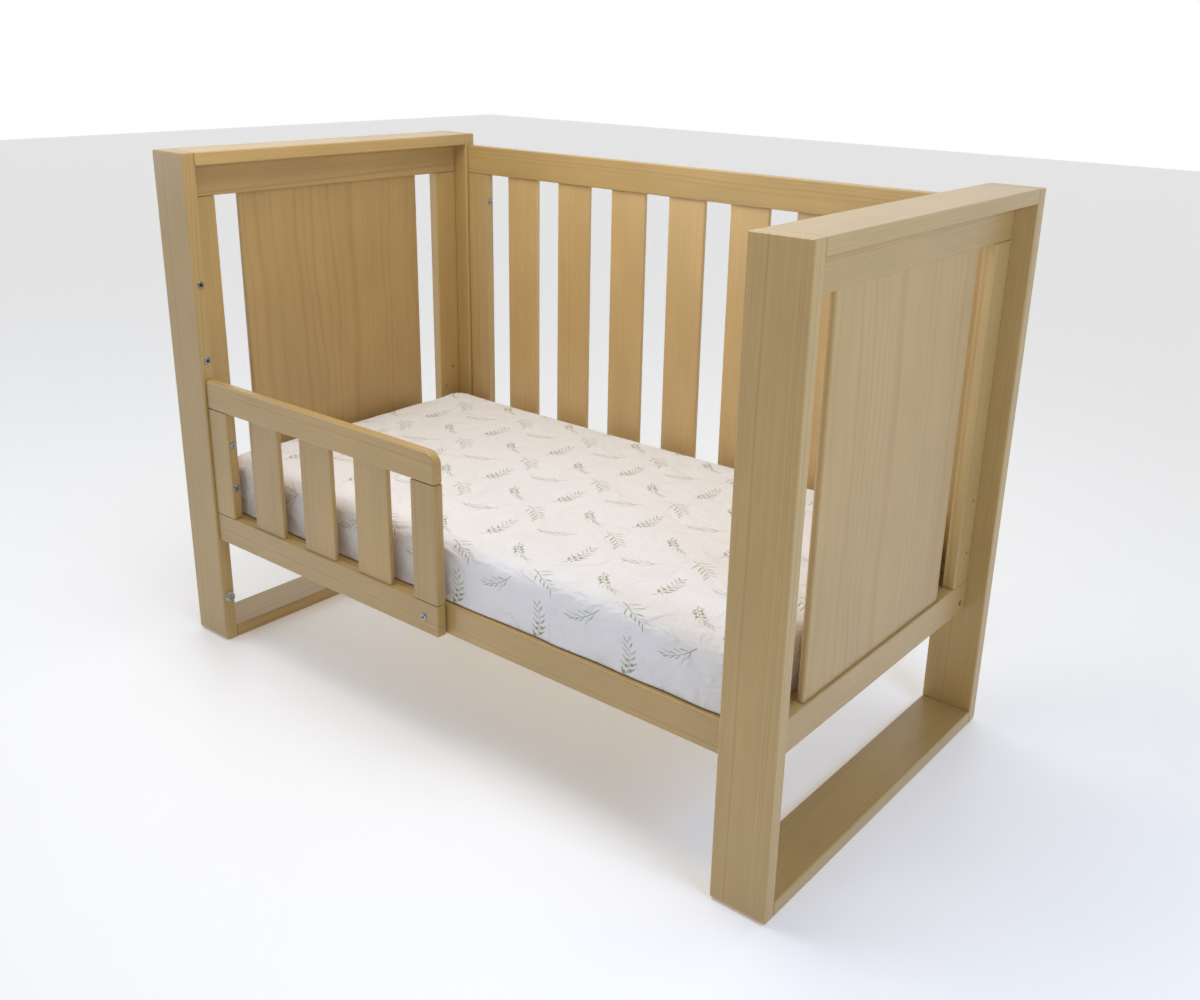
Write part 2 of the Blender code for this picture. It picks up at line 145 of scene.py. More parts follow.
# %% The pine shader
def make_pine(name, spring, summer, ring_mm, figure_mm, contrast, waves=1.3, roughness=0.42, coat=0.50):
    """Pine with rings ring_mm apart that wander sideways by figure_mm, waves times a metre."""
    material, tree, shader = start_material(name)
    place = add(tree, "ShaderNodeAttribute", attribute_name="grain").outputs["Vector"]
    tone = add(tree, "ShaderNodeAttribute", attribute_name="tone").outputs["Fac"]

    def stretched(across, along, detail=2.0):
        """Noise with so many features to a metre across the board, and so many along it."""
        scaled = add(tree, VECTOR, {0: place, 1: (across, across, along)}, operation='MULTIPLY')
        return add(tree, "ShaderNodeTexNoise", {"Vector": scaled, "Scale": 1.0, "Detail": detail})

    # Slow sideways wander of the rings, far longer along the board than across it.
    slow = stretched(7.0, waves)
    centred = add(tree, VECTOR, {0: slow.outputs["Color"], 1: (0.5, 0.5, 0.5)}, operation='SUBTRACT')
    wander = add(tree, VECTOR, {0: centred, "Scale": figure_mm / 1000}, operation='SCALE')
    moved = add(tree, VECTOR, {0: place, 1: wander}, operation='ADD')
    flat = add(tree, VECTOR, {0: moved, 1: (1.0, 1.0, 0.0)}, operation='MULTIPLY')
    radius = add(tree, VECTOR, {0: flat}, operation='LENGTH').outputs["Value"]
    # Good and poor years come in turns of about six: the count of rings runs up to 1.5 ahead or behind.
    years = add(tree, MATH, {0: radius, 1: 160 / ring_mm}, operation='MULTIPLY')
    years = add(tree, "ShaderNodeTexNoise", {"W": years, "Scale": 1.0, "Detail": 1.0}, noise_dimensions='1D')
    years = add(tree, "ShaderNodeMapRange", {0: years, 1: 0.25, 2: 0.75, 3: -1.5, 4: 1.5})
    rings = add(tree, MATH, {0: radius, 1: 1000 / ring_mm, 2: years}, operation='MULTIPLY_ADD')
    phase = add(tree, MATH, {0: rings}, operation='FRACT')
    which = add(tree, MATH, {0: rings}, operation='FLOOR')
    strength = add(tree, "ShaderNodeTexWhiteNoise", {"W": which}, noise_dimensions='1D').outputs["Value"]
    strength = add(tree, "ShaderNodeMapRange", {0: strength, 3: 0.15, 4: 1.0})

    # Summer wood darkens slowly through the season and stops at the winter line.
    rise = add(tree, "ShaderNodeMapRange", {0: phase, 1: 0.35, 2: 0.88}, interpolation_type='SMOOTHSTEP')
    stop = add(tree, "ShaderNodeMapRange", {0: phase, 1: 0.90, 2: 1.0, 3: 1.0, 4: 0.0},
               interpolation_type='SMOOTHSTEP')
    thin = add(tree, MATH, {0: rise, 1: 2.2}, operation='POWER')
    band = add(tree, MATH, {0: thin, 1: stop}, operation='MULTIPLY')
    band = add(tree, MATH, {0: band, 1: strength}, operation='MULTIPLY')

    # Fibres 1 mm wide and 60 mm long, streaks 8 mm by half a metre, and clouds of paler wood.
    fibre = stretched(900.0, 16.0, detail=3.0)
    streak = stretched(130.0, 2.2)
    cloud = stretched(14.0, 5.0)

    amount = add(tree, MATH, {0: band, 1: contrast}, operation='MULTIPLY')
    streak_part = add(tree, "ShaderNodeMapRange", {0: streak, 1: 0.35, 2: 0.75, 3: 0.0, 4: 0.30 * contrast})
    amount = add(tree, MATH, {0: amount, 1: streak_part}, operation='ADD', use_clamp=True)
    colour = add(tree, "ShaderNodeMix", {0: amount, 6: linear(spring), 7: linear(summer)},
                 data_type='RGBA').outputs[2]

    # Brightness: fibres, clouds and the board's own tone.
    light = add(tree, "ShaderNodeMapRange", {0: fibre, 1: 0.3, 2: 0.7, 3: 0.955, 4: 1.03})
    shade = add(tree, "ShaderNodeMapRange", {0: cloud, 1: 0.3, 2: 0.7, 3: 0.94, 4: 1.05})
    own = add(tree, MATH, {0: tone, 1: 0.05, 2: 1.0}, operation='MULTIPLY_ADD')
    light = add(tree, MATH, {0: light, 1: shade}, operation='MULTIPLY')
    light = add(tree, MATH, {0: light, 1: own}, operation='MULTIPLY')

    # Pin knots: rare specks of a few millimetres.
    knot_place = add(tree, VECTOR, {0: place, 1: (5.5, 5.5, 3.0)}, operation='MULTIPLY')
    knot = add(tree, "ShaderNodeTexVoronoi", {"Vector": knot_place, "Scale": 1.0}).outputs["Distance"]
    knot = add(tree, "ShaderNodeMapRange", {0: knot, 1: 0.010, 2: 0.022, 3: 0.45, 4: 1.0},
               interpolation_type='SMOOTHSTEP')
    light = add(tree, MATH, {0: light, 1: knot}, operation='MULTIPLY')
    colour = add(tree, VECTOR, {0: colour, "Scale": light}, operation='SCALE')

    # Pores are a little rougher and lower than the wood between them, and summer wood stands proud.
    rough = add(tree, "ShaderNodeMapRange",
                {0: fibre, 1: 0.3, 2: 0.7, 3: roughness + 0.05, 4: roughness - 0.05})
    height = add(tree, MATH, {0: band, 1: 0.35, 2: fibre}, operation='MULTIPLY_ADD')
    bump = add(tree, "ShaderNodeBump", {"Strength": 0.35, "Distance": 0.00012, "Height": height})
    fill(shader, {"Base Color": colour, "Roughness": rough, "Normal": bump, "IOR": 1.5,
                  "Coat Weight": coat, "Coat Roughness": 0.28})
    return material


# Satin lacquer over planed boards: a soft sheen, and rings that stay close to the ground colour.
PINE = make_pine("satin_lacquered_pine_boards", "#BE9E62", "#966F3A",
                 ring_mm=3.8, figure_mm=12.0, contrast=0.36)
# The slats of the back are sawn on the quarter, so their lines are fine and faint.
# Their paler, warmer ground is painted light: it stands for the brighter light that falls on the inside of
# the back.
QUARTERED_PAINTED_LIGHT = make_pine("satin_lacquered_pine_slats", "#CFAE74", "#A8804A",
                      ring_mm=2.6, figure_mm=8.0, contrast=0.28)
# The end panels are wide and flat-sawn, so their rings show some 20 mm apart and wander more.
PANEL = make_pine("satin_lacquered_pine_panels", "#BC9B60", "#A0703A",
                  ring_mm=20.0, figure_mm=60.0, contrast=0.32, waves=2.6)
# The slats of the base are planed and left bare: paler, matt and without a coat.
BARE = make_pine("bare_planed_pine", "#D9C296", "#BD9860",
                 ring_mm=3.8, figure_mm=16.0, contrast=0.60, roughness=0.62, coat=0.0)
print("four pine finishes:", PINE.name, QUARTERED_PAINTED_LIGHT.name, PANEL.name, BARE.name)

# %% [markdown]
# ## Boards
#
# Each board is planed square and its edges are eased with a small round, so that they feel soft and catch
# a line of light. A Bevel modifier could do it live, but holes come after the easing here, because a hole
# keeps a crisp rim. So the box is made and bevelled in bmesh, then drilled, and a Weighted Normal modifier
# keeps the broad faces flat to the light while the rounds stay smooth. The board's place comes from its
# CAD node, and the longest side is the way the grain runs.

# %% One board in the place of one CAD node
SHARP = math.radians(35)
EASE_STEPS, ROUND_STEPS = 4, 8


def link_mesh(name, shape, *materials):
    """Make an object from a bmesh, with its normals turned outwards."""
    bmesh.ops.recalc_face_normals(shape, faces=shape.faces)
    mesh = bpy.data.meshes.new(name)
    shape.to_mesh(mesh)
    shape.free()
    for material in materials:
        mesh.materials.append(material)
    piece = bpy.data.objects.new(name, mesh)
    scene.collection.objects.link(piece)
    return piece


def smooth(piece):
    """Shade a hard piece smoothly, with sharp rims kept and broad faces flat."""
    piece.data.shade_smooth()
    piece.data.set_sharp_from_angle(angle=SHARP)
    flat = piece.modifiers.new("broad faces stay flat", 'WEIGHTED_NORMAL')
    flat.keep_sharp = True
    flat.weight = 100


def edges_along(shape, axis, side=None):
    """The edges that run along an axis, or those of them that lie towards side."""
    found = []
    for edge in shape.edges:
        first, second = (vertex.co for vertex in edge.verts)
        middle = (first + second) / 2
        if abs((second - first).normalized()[axis]) < 0.99:
            continue
        if side is None or all(middle[i] * side[i] > 0 for i in range(3) if side[i]):
            found.append(edge)
    return found


def rounded_box(low, high, edge, rounds=()):
    """A closed box with eased edges. Each round is an axis, a radius and the side that it lies on."""
    shape = bmesh.new()
    size = high - low
    bmesh.ops.create_cube(shape, size=1.0, matrix=Matrix.Diagonal((*size, 1.0)))
    for axis, radius, side in rounds:
        bmesh.ops.bevel(shape, geom=edges_along(shape, axis, side), offset=radius, segments=ROUND_STEPS,
                        profile=0.5, affect='EDGES')
    crisp = [e for e in shape.edges if e.calc_face_angle(0) > math.radians(40)]
    bmesh.ops.bevel(shape, geom=crisp, offset=edge, segments=EASE_STEPS, profile=0.5, affect='EDGES',
                    clamp_overlap=True)
    bmesh.ops.translate(shape, verts=shape.verts, vec=(low + high) / 2)
    return shape


def remember_log(piece, low, high, pith):
    """Store where each point lay in its log: across, through and along the board, from the pith."""
    size = high - low
    middle = (low + high) / 2
    along, across, through = sorted(range(3), key=lambda axis: -size[axis])
    # The saw leans up to 12 mm in a metre, the log starts anywhere in 40 m, and no two piths are alike.
    luck = random.Random(piece.name)
    lean = luck.uniform(-0.012, 0.012)
    start = luck.uniform(0, 40)
    sway = luck.uniform(0.85, 1.15)
    places = []
    for vertex in piece.data.vertices:
        away = vertex.co - middle
        places += [away[across] + pith[0] * sway + away[along] * lean,
                   away[through] + pith[1] * sway,
                   away[along] + start]
    piece.data.attributes.new("grain", 'FLOAT_VECTOR', 'POINT').data.foreach_set("vector", places)
    tones = [luck.uniform(-1, 1)] * len(piece.data.vertices)
    piece.data.attributes.new("tone", 'FLOAT', 'POINT').data.foreach_set("value", tones)


RIFT = (0.085, 0.050)       # pith beside and below the face: straight lines
FLAT_SAWN = (0.012, 0.060)  # pith below the face: arches
WIDE = (0.36, 0.12)         # pith far to the side, for the broad rings of a panel


def make_board(node, body, material, edge, rounds=(), pith=RIFT, holes=()):
    """A board with eased edges that stands for one CAD node."""
    low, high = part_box(node)
    piece = link_mesh(node + "_pine", rounded_box(low, high, edge, rounds), material)
    for start, end, radius in holes:
        drill(piece, start, end, radius)
    remember_log(piece, low, high, pith)
    smooth(piece)
    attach(piece, body)
    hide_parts(node)
    return piece


def baked(piece):
    """Keep what a piece's modifiers make as its own plain mesh."""
    made = bpy.data.meshes.new_from_object(piece.evaluated_get(bpy.context.evaluated_depsgraph_get()))
    piece.modifiers.clear()
    piece.data = made


def applied(piece, kind, **settings):
    """Add one modifier, and keep its result as the piece's mesh."""
    step = piece.modifiers.new(kind.lower(), kind)
    for name, value in settings.items():
        setattr(step, name, value)
    baked(piece)


def drill(piece, start, end, radius):
    """Cut a round hole from start to end."""
    start, end = Vector(start), Vector(end)
    shape = bmesh.new()
    turn = (end - start).to_track_quat('Z', 'Y').to_matrix().to_4x4()
    bmesh.ops.create_cone(shape, cap_ends=True, segments=32, radius1=radius, radius2=radius,
                          depth=(end - start).length,
                          matrix=Matrix.Translation((start + end) / 2) @ turn)
    cutter = link_mesh("cutter", shape)
    applied(piece, 'BOOLEAN', object=cutter, solver='EXACT')
    bpy.data.objects.remove(cutter)


print("a board's edge is eased in", EASE_STEPS, "steps of", 90 / EASE_STEPS, "degrees")

# %% [markdown]
# ## The sled loops
#
# Each end stands on a closed loop of flat board: two posts, a top board and a foot board between them.
# The posts' lower outer corners are rounded to a 9 mm heel, so that the cot can be tilted without a
# splinter. The two threaded inserts for the full-height side are let into the left front post.

# %% Posts, top boards and foot boards
LOOP_EDGE = 0.003
HEEL = 0.009
INSERT_HOLE, INSERT_CLEARANCE = 0.0052, 0.001
INSERTS = ["upper_side_insert", "lower_side_insert"]
PAST = 0.005  # how far a cutter runs past the wood


def middle_of(node):
    """The middle of a CAD node."""
    low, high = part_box(node)
    return (low + high) / 2


def hole_along_x(node, first, last, radius):
    """A hole in line with a node's middle, from one x to another."""
    middle = middle_of(node)
    return (first, middle.y, middle.z), (last, middle.y, middle.z), radius


insert_holes = []
for node in INSERTS:
    low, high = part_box(node)
    insert_holes.append(hole_along_x(node, low.x - INSERT_CLEARANCE, high.x + PAST, INSERT_HOLE))
for end in ("left", "right"):
    for side in ("front", "rear"):
        outwards = -1 if side == "front" else 1
        make_board(f"{end}_{side}_post", "frame", PINE, LOOP_EDGE,
                   rounds=[(0, HEEL, (0, outwards, -1))],
                   holes=insert_holes if (end, side) == ("left", "front") else [])
    make_board(f"{end}_top_board", "frame", PINE, LOOP_EDGE)
    make_board(f"{end}_foot_board", "frame", PINE, LOOP_EDGE, pith=FLAT_SAWN)
post_low, post_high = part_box("left_front_post")
print("a post is", [round(s * 1000) for s in post_high - post_low], "mm")

# %% [markdown]
# ## The end panels
#
# Inside each loop stands a frame of two rails and two stiles, and a broad solid panel between the rails.
# The panel's upright edges are rounded far more than the rest, almost to half a circle, because a child
# holds them. The stiles and the bottom rails are drilled for the bolts that hold the mattress base.

# %% Rails, stiles and panels of the ends
FRAME_EDGE = 0.0025
PANEL_ROUND, PANEL_EDGE = 0.005, 0.0006
BASE_BOLT_HOLE = 0.0034
BASE_HOLE_HEIGHTS = (0.3535, 0.455)
RECESS, RECESS_DEPTH = 0.0056, 0.004

for end in ("left", "right"):
    facing = -1 if end == "left" else 1
    make_board(f"{end}_end_top_rail", "frame", PINE, FRAME_EDGE)
    low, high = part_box(f"{end}_end_bottom_rail")
    outer = high.x if facing > 0 else low.x
    recesses = [hole_along_x(f"{end}_{side}_base_bolt", outer + facing * PAST,
                             outer - facing * RECESS_DEPTH, RECESS) for side in ("front", "rear")]
    make_board(f"{end}_end_bottom_rail", "frame", PINE, FRAME_EDGE, holes=recesses)
    for side in ("front", "rear"):
        low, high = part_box(f"{end}_end_{side}_stile")
        y = middle_of(f"{end}_{side}_base_bolt").y
        through = [((low.x - PAST, y, z), (high.x + PAST, y, z), BASE_BOLT_HOLE)
                   for z in BASE_HOLE_HEIGHTS]
        make_board(f"{end}_end_{side}_stile", "frame", PINE, FRAME_EDGE, holes=through)
    make_board(f"{end}_end_panel", "frame", PANEL, PANEL_EDGE,
               rounds=[(2, PANEL_ROUND, None)], pith=WIDE)
panel_low, panel_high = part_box("left_end_panel")
print("an end panel is", round((panel_high.y - panel_low.y) * 1000), "mm wide")

# %% [markdown]
# ## The back side, the guard and the mattress base
#
# The back side is a rail above, a rail below and a stile at each end, with slats let in between. The guard
# is a short one of the same kind, and the free upper corner of its top rail is cut to a 24 mm round.
# The base is a shallow box of four rails on edge.

# %% Rails and stiles between the ends
GUARD_ROUND, GUARD_EDGE = 0.024, 0.004
BASE_EDGE = 0.002

for node in ("back_top_rail", "back_bottom_rail", "back_left_stile", "back_right_stile",
             "guard_bottom_rail", "guard_left_stile", "guard_right_stile"):
    make_board(node, "frame", PINE, FRAME_EDGE,
               pith=FLAT_SAWN if node == "back_top_rail" else RIFT)
make_board("guard_top_rail", "frame", PINE, GUARD_EDGE, rounds=[(1, GUARD_ROUND, (1, 0, 1))],
           pith=FLAT_SAWN)
for side in ("front", "rear", "left", "right"):
    make_board(f"base_{side}_rail", "mattress_base", PINE, BASE_EDGE)

# %% [markdown]
# ## Slats
#
# Slats repeat, so one Geometry Nodes tree lays out every row. It fillets a rectangle, sweeps it along the
# slat, sets copies at an even pitch, and gives each copy its own place in a log, so no two slats look
# alike. The tree's sizes are named inputs, and the same tree makes the back's, the guard's and the base's.

# %% A tree that lays out a row of slats
def new_tree(name, **sockets):
    """An empty Geometry Nodes tree with a geometry output and the named inputs."""
    tree = bpy.data.node_groups.new(name, 'GeometryNodeTree')
    tree.interface.new_socket("Geometry", in_out='INPUT', socket_type='NodeSocketGeometry')
    for label, kind in sockets.items():
        tree.interface.new_socket(label.replace("_", " "), in_out='INPUT', socket_type="NodeSocket" + kind)
    tree.interface.new_socket("Geometry", in_out='OUTPUT', socket_type='NodeSocketGeometry')
    return tree, tree.nodes.new("NodeGroupInput"), tree.nodes.new("NodeGroupOutput")


def slat_tree():
    """Slats in a row: filleted bars with their own grain."""
    tree, given, result = new_tree("row of slats", Count="Int", Start="Vector", Pitch="Vector",
                                   Width="Float", Thickness="Float", Length="Float", Edge="Float",
                                   Turn="Rotation", Seed="Int", Material="Material")
    take = given.outputs
    outline = add(tree, "GeometryNodeCurvePrimitiveQuadrilateral",
                  {"Width": take["Width"], "Height": take["Thickness"]})
    eased = add(tree, "GeometryNodeFilletCurve", {"Curve": outline, "Radius": take["Edge"], "Count": 4},
                mode='POLY')
    half = add(tree, MATH, {0: take["Length"], 1: 0.5}, operation='MULTIPLY')
    less = add(tree, MATH, {0: take["Length"], 1: -0.5}, operation='MULTIPLY')
    path = add(tree, "GeometryNodeCurvePrimitiveLine",
               {"Start": add(tree, "ShaderNodeCombineXYZ", {"Z": less}),
                "End": add(tree, "ShaderNodeCombineXYZ", {"Z": half})})
    bar = add(tree, "GeometryNodeCurveToMesh", {"Curve": path, "Profile Curve": eased, "Fill Caps": True})
    kept = add(tree, "GeometryNodeStoreNamedAttribute",
               {"Geometry": bar, "Name": "grain", "Value": add(tree, "GeometryNodeInputPosition")},
               data_type='FLOAT_VECTOR', domain='POINT')
    row = add(tree, "GeometryNodeMeshLine",
              {"Count": take["Count"], "Start Location": take["Start"], "Offset": take["Pitch"]})
    copies = add(tree, "GeometryNodeInstanceOnPoints",
                 {"Points": row, "Instance": kept, "Rotation": take["Turn"]})
    # Each slat was sawn 30 to 140 mm beside its pith and 20 to 100 mm from it, anywhere in 40 m of log.
    luck = add(tree, "FunctionNodeRandomValue",
               {0: (0.03, 0.02, 0.0), 1: (0.14, 0.10, 40.0), "Seed": take["Seed"]}, data_type='FLOAT_VECTOR')
    moved = add(tree, "GeometryNodeStoreNamedAttribute",
                {"Geometry": copies, "Name": "log", "Value": luck.outputs[0]},
                data_type='FLOAT_VECTOR', domain='INSTANCE')
    shade = add(tree, "FunctionNodeRandomValue", {2: -1.0, 3: 1.0, "Seed": take["Seed"]}, data_type='FLOAT')
    toned = add(tree, "GeometryNodeStoreNamedAttribute",
                {"Geometry": moved, "Name": "tone", "Value": shade.outputs[1]},
                data_type='FLOAT', domain='INSTANCE')
    real = add(tree, "GeometryNodeRealizeInstances", {"Geometry": toned})
    own = add(tree, "GeometryNodeInputNamedAttribute", {"Name": "grain"}, data_type='FLOAT_VECTOR')
    log = add(tree, "GeometryNodeInputNamedAttribute", {"Name": "log"}, data_type='FLOAT_VECTOR')
    both = add(tree, VECTOR, {0: own.outputs[0], 1: log.outputs[0]}, operation='ADD')
    placed = add(tree, "GeometryNodeStoreNamedAttribute", {"Geometry": real, "Name": "grain", "Value": both},
                 data_type='FLOAT_VECTOR', domain='POINT')
    painted = add(tree, "GeometryNodeSetMaterial", {"Geometry": placed, "Material": take["Material"]})
    fill(result, {0: painted})
    return tree


def grown(name, tree, mesh=None, **values):
    """Run a tree on an object and keep what it makes as a plain mesh."""
    piece = bpy.data.objects.new(name, mesh or bpy.data.meshes.new(name))
    scene.collection.objects.link(piece)
    growing = piece.modifiers.new("grow", 'NODES')
    growing.node_group = tree
    for socket in tree.interface.items_tree:
        if socket.in_out == 'INPUT' and socket.name.replace(" ", "_") in values:
            growing[socket.identifier] = values[socket.name.replace(" ", "_")]
    baked(piece)
    return piece


SLATS = slat_tree()
print("the slat tree has", len(SLATS.nodes), "nodes")

# %% [markdown]
# The rows take their first place, pitch and sizes from the CAD slats. Those of the base lie on their
# backs, so a quarter turn about X lays them down.

# %% Three rows of slats
SLAT_EDGE = 0.003


def slat_row(name, prefix, count, body, material, edge, lying=False, seed=1):
    """Lay out one row in the place of its CAD slats."""
    low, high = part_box(f"{prefix}_1")
    size = high - low
    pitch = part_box(f"{prefix}_2")[0] - low
    width, thickness, length = (size.x, size.z, size.y) if lying else (size.x, size.y, size.z)
    piece = grown(name, SLATS, Count=count, Start=(low + high) / 2, Pitch=pitch, Width=width,
                  Thickness=thickness, Length=length, Edge=edge, Seed=seed, Material=material,
                  Turn=(-math.pi / 2 if lying else 0.0, 0.0, 0.0))
    smooth(piece)
    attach(piece, body)
    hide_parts(*[f"{prefix}_{i + 1}" for i in range(count)])
    found = [Vector(corner) for corner in piece.bound_box]
    print(name, "spans", [round(max(c[i] for c in found) - min(c[i] for c in found), 4) for i in range(3)])
    return piece


slat_row("back_slats_pine", "back_slat", 7, "frame", QUARTERED_PAINTED_LIGHT, SLAT_EDGE, seed=3)
slat_row("guard_slats_pine", "guard_slat", 3, "frame", PINE, SLAT_EDGE, seed=8)
slat_row("base_slats_pine", "base_slat", 7, "mattress_base", BARE, BASE_EDGE, lying=True, seed=5)

# %% [markdown]
# ## The mattress
#
# The mattress is a foam block in a woven ticking, with soft corners. Seen from above it is all under the
# sheet, but it gives the sheet its shape. A rounded box would look too exact, so the block starts 5 mm too
# small, is rebuilt in even quads, and a cloth simulation blows its cover up against the foam's limit.
# Gravity is off and the underside is held, so it stays flat on the slats. No point may move more than
# 5 mm, which keeps the crown inside the space that the CAD gives it. The quads are 12 mm, because the
# mattress is 1.3 m long and its bulges are broad, and one subdivision smooths them afterwards.

# %% The mattress in its ticking
SWELL = 0.005
QUAD = 0.012
FRAMES = 20
HELD_HEIGHT = 0.002  # the cover is held this far up from the slats


def points_of(mesh):
    """The mesh's points as rows of x, y and z."""
    flat = np.empty(len(mesh.vertices) * 3)
    mesh.vertices.foreach_get("co", flat)
    return flat.reshape(-1, 3)


def blow_up(piece, held_below, limit, pressure=4.0):
    """Let the cover swell like cloth under pressure, with no point moved by more than limit."""
    before = points_of(piece.data)
    held = piece.vertex_groups.new(name="held")
    held.add([int(i) for i in np.flatnonzero(before[:, 2] < held_below)], 1.0, 'REPLACE')
    cloth = piece.modifiers.new("cloth", 'CLOTH')
    cloth.settings.quality = 5
    cloth.settings.use_pressure = True
    cloth.settings.uniform_pressure_force = pressure
    cloth.settings.shrink_min = -0.02  # the cover may grow by 2 %
    cloth.settings.vertex_group_mass = "held"
    cloth.settings.effector_weights.gravity = 0.0
    cloth.collision_settings.use_collision = False
    cloth.point_cache.frame_start = 1
    cloth.point_cache.frame_end = FRAMES
    for number in range(1, FRAMES + 1):
        scene.frame_set(number)
    soft = piece.evaluated_get(bpy.context.evaluated_depsgraph_get())
    move = points_of(soft.data) - before
    length = np.linalg.norm(move, axis=1, keepdims=True)
    after = before + move * np.minimum(1.0, limit / np.maximum(length, 1e-9))
    piece.modifiers.clear()
    piece.vertex_groups.clear()
    piece.data.vertices.foreach_set("co", after.ravel())
    piece.data.update()
    scene.frame_set(1)
    return float(length.max()), float(np.median(length))


bed_low, bed_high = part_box("mattress")
shape = bmesh.new()
shape.from_mesh(NODES["mattress"].data)
bmesh.ops.remove_doubles(shape, verts=shape.verts, dist=1e-6)
shrink = [(bed_high[i] - SWELL) / bed_high[i] for i in range(2)]
lower = (bed_high.z - bed_low.z - SWELL) / (bed_high.z - bed_low.z)
for vertex in shape.verts:
    vertex.co = (vertex.co.x * shrink[0], vertex.co.y * shrink[1],
                 bed_low.z + (vertex.co.z - bed_low.z) * lower)
mattress = link_mesh("mattress_foam", shape)
applied(mattress, 'REMESH', mode='VOXEL', voxel_size=QUAD, use_smooth_shade=True)
furthest, typical = blow_up(mattress, bed_low.z + HELD_HEIGHT, SWELL)
print("before the limit the cover moved up to", round(furthest, 3), "m, typically", round(typical, 3))
applied(mattress, 'SUBSURF', levels=1, render_levels=1)
settled = points_of(mattress.data)
settled[:, 2] = np.maximum(settled[:, 2], bed_low.z)
mattress.data.vertices.foreach_set("co", settled.ravel())
mattress.data.update()
print("the mattress has", len(mattress.data.polygons), "faces, and its top is at",
      round(float(settled[:, 2].max()), 4), "m")

# %% [markdown]
# ## The fitted sheet
#
# The sheet is light cotton percale, cut as a top with four sides and sewn up the corners. It is stretched
# over the mattress, so it takes the mattress's own surface, a hair outside it. It could be simulated too,
# but a taut sheet has few folds, and they are small and lie in known places, so they are raised point by
# point: soft ripples over the top, pulls that run in from each corner, and gathers low on the sides where
# the elastic draws them in. Every raise is outwards, so that the sheet never cuts into the mattress. Low
# down the sheet doesn't follow the mattress's round under it, but hangs almost straight to the hem.
# The cloth's own map is the flat cut in metres, unrolled over the edge, with a jump at each corner seam.

# %% The sheet's folds and its map
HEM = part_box("fitted_sheet")[0].z
GAP = 0.0003     # air between mattress and sheet
CLOTH = 0.0008   # the cotton's thickness
ROLL = 0.022     # the mattress's edge round
CORNER = 0.045   # the pulls start this far in from a corner
# How high each kind of fold stands off, how far in from a corner it reaches, and how close gathers lie.
RIPPLE, WRINKLE, PULL, GATHER, SAG = 0.0006, 0.0002, 0.0017, 0.0010, 0.0008
PULL_REACH, GATHER_REACH, GATHER_PITCH = 0.11, 0.10, 0.0045


def clamped(value):
    """The value, kept between 0 and 1."""
    return min(1.0, max(0.0, value))


def bumpy(x, y, z, size):
    """Smooth noise from -1 to 1 with features about size metres wide."""
    return noise.noise(Vector((x / size, y / size, z / size)))


def fold(point, normal):
    """How far the sheet stands off the mattress at one point, in metres."""
    x, y, z = point
    reach_x, reach_y = bed_high.x - CORNER, bed_high.y - CORNER
    off_x, off_y = abs(x) - reach_x, abs(y) - reach_y
    away = math.hypot(off_x, off_y)
    turn = math.atan2(off_y, off_x)
    raised = RIPPLE * (1 + bumpy(x, y * 2.2, z * 2, 0.11)) + WRINKLE * (1 + bumpy(x, y, z, 0.035))
    upward = max(0.0, normal.z)
    pull = max(0.0, math.sin(7 * turn + 2.5 * bumpy(x, y, 0.0, 0.06)))
    raised += PULL * pull * upward * math.exp(-(away / PULL_REACH) ** 2)
    sideways = 1.0 - abs(normal.z)
    low_down = clamped((bed_high.z - z) / (bed_high.z - bed_low.z))
    run = x if abs(normal.y) > abs(normal.x) else y
    gather = max(0.0, math.sin(run / GATHER_PITCH + 3.0 * bumpy(x, y, 3.0, 0.05)))
    from_corner = max(0.0, min(-off_x, -off_y) if max(off_x, off_y) < 0 else away - CORNER)
    near = math.exp(-from_corner / GATHER_REACH)
    raised += GATHER * gather * sideways * low_down ** 2 * (0.25 + 0.75 * near)
    sag = max(0.0, 0.5 + bumpy(x * 0.6, y * 0.6, z * 3.0, 0.05))
    return raised + SAG * sag * sideways * low_down


def unrolled(distance, half, z):
    """Distance along the flat cut, for a point this far from the middle of a side that rolls over."""
    flat = half - ROLL
    if abs(distance) <= flat:
        return distance
    if z > bed_high.z - ROLL:
        arc = ROLL * math.atan2(abs(distance) - flat, z - (bed_high.z - ROLL))
    else:
        arc = ROLL * math.pi / 2 + bed_high.z - ROLL - z
    return math.copysign(flat + arc, distance)


def place_on_cut(point, face):
    """Where a corner of a face lies on the flat cut, in metres."""
    x, y, z = point
    middle, normal = face.calc_center_median(), face.normal
    inside = max(abs(middle.x) - bed_high.x, abs(middle.y) - bed_high.y) < -ROLL
    if abs(normal.z) >= 0.9 or inside:
        return unrolled(x, bed_high.x, bed_high.z), unrolled(y, bed_high.y, bed_high.z)
    if abs(normal.x) > abs(normal.y):
        return unrolled(x, bed_high.x, z), y
    return x, unrolled(y, bed_high.y, z)


def hung(point, normal, height):
    """A point of the mattress moved out to where the sheet is, which hangs over the lower round."""
    hang = clamped(1.0 - (point.z - bed_low.z) / ROLL)
    sideways = Vector((normal.x, normal.y, 0.0)).normalized()
    slack = 0.74 + 0.24 * bumpy(point.x, point.y, 0.0, 0.07)
    drop = ROLL * (1.0 - math.sqrt(1.0 - hang * hang)) * slack
    return point + (normal.lerp(sideways, min(1.0, 3 * hang)) * height + sideways * drop)


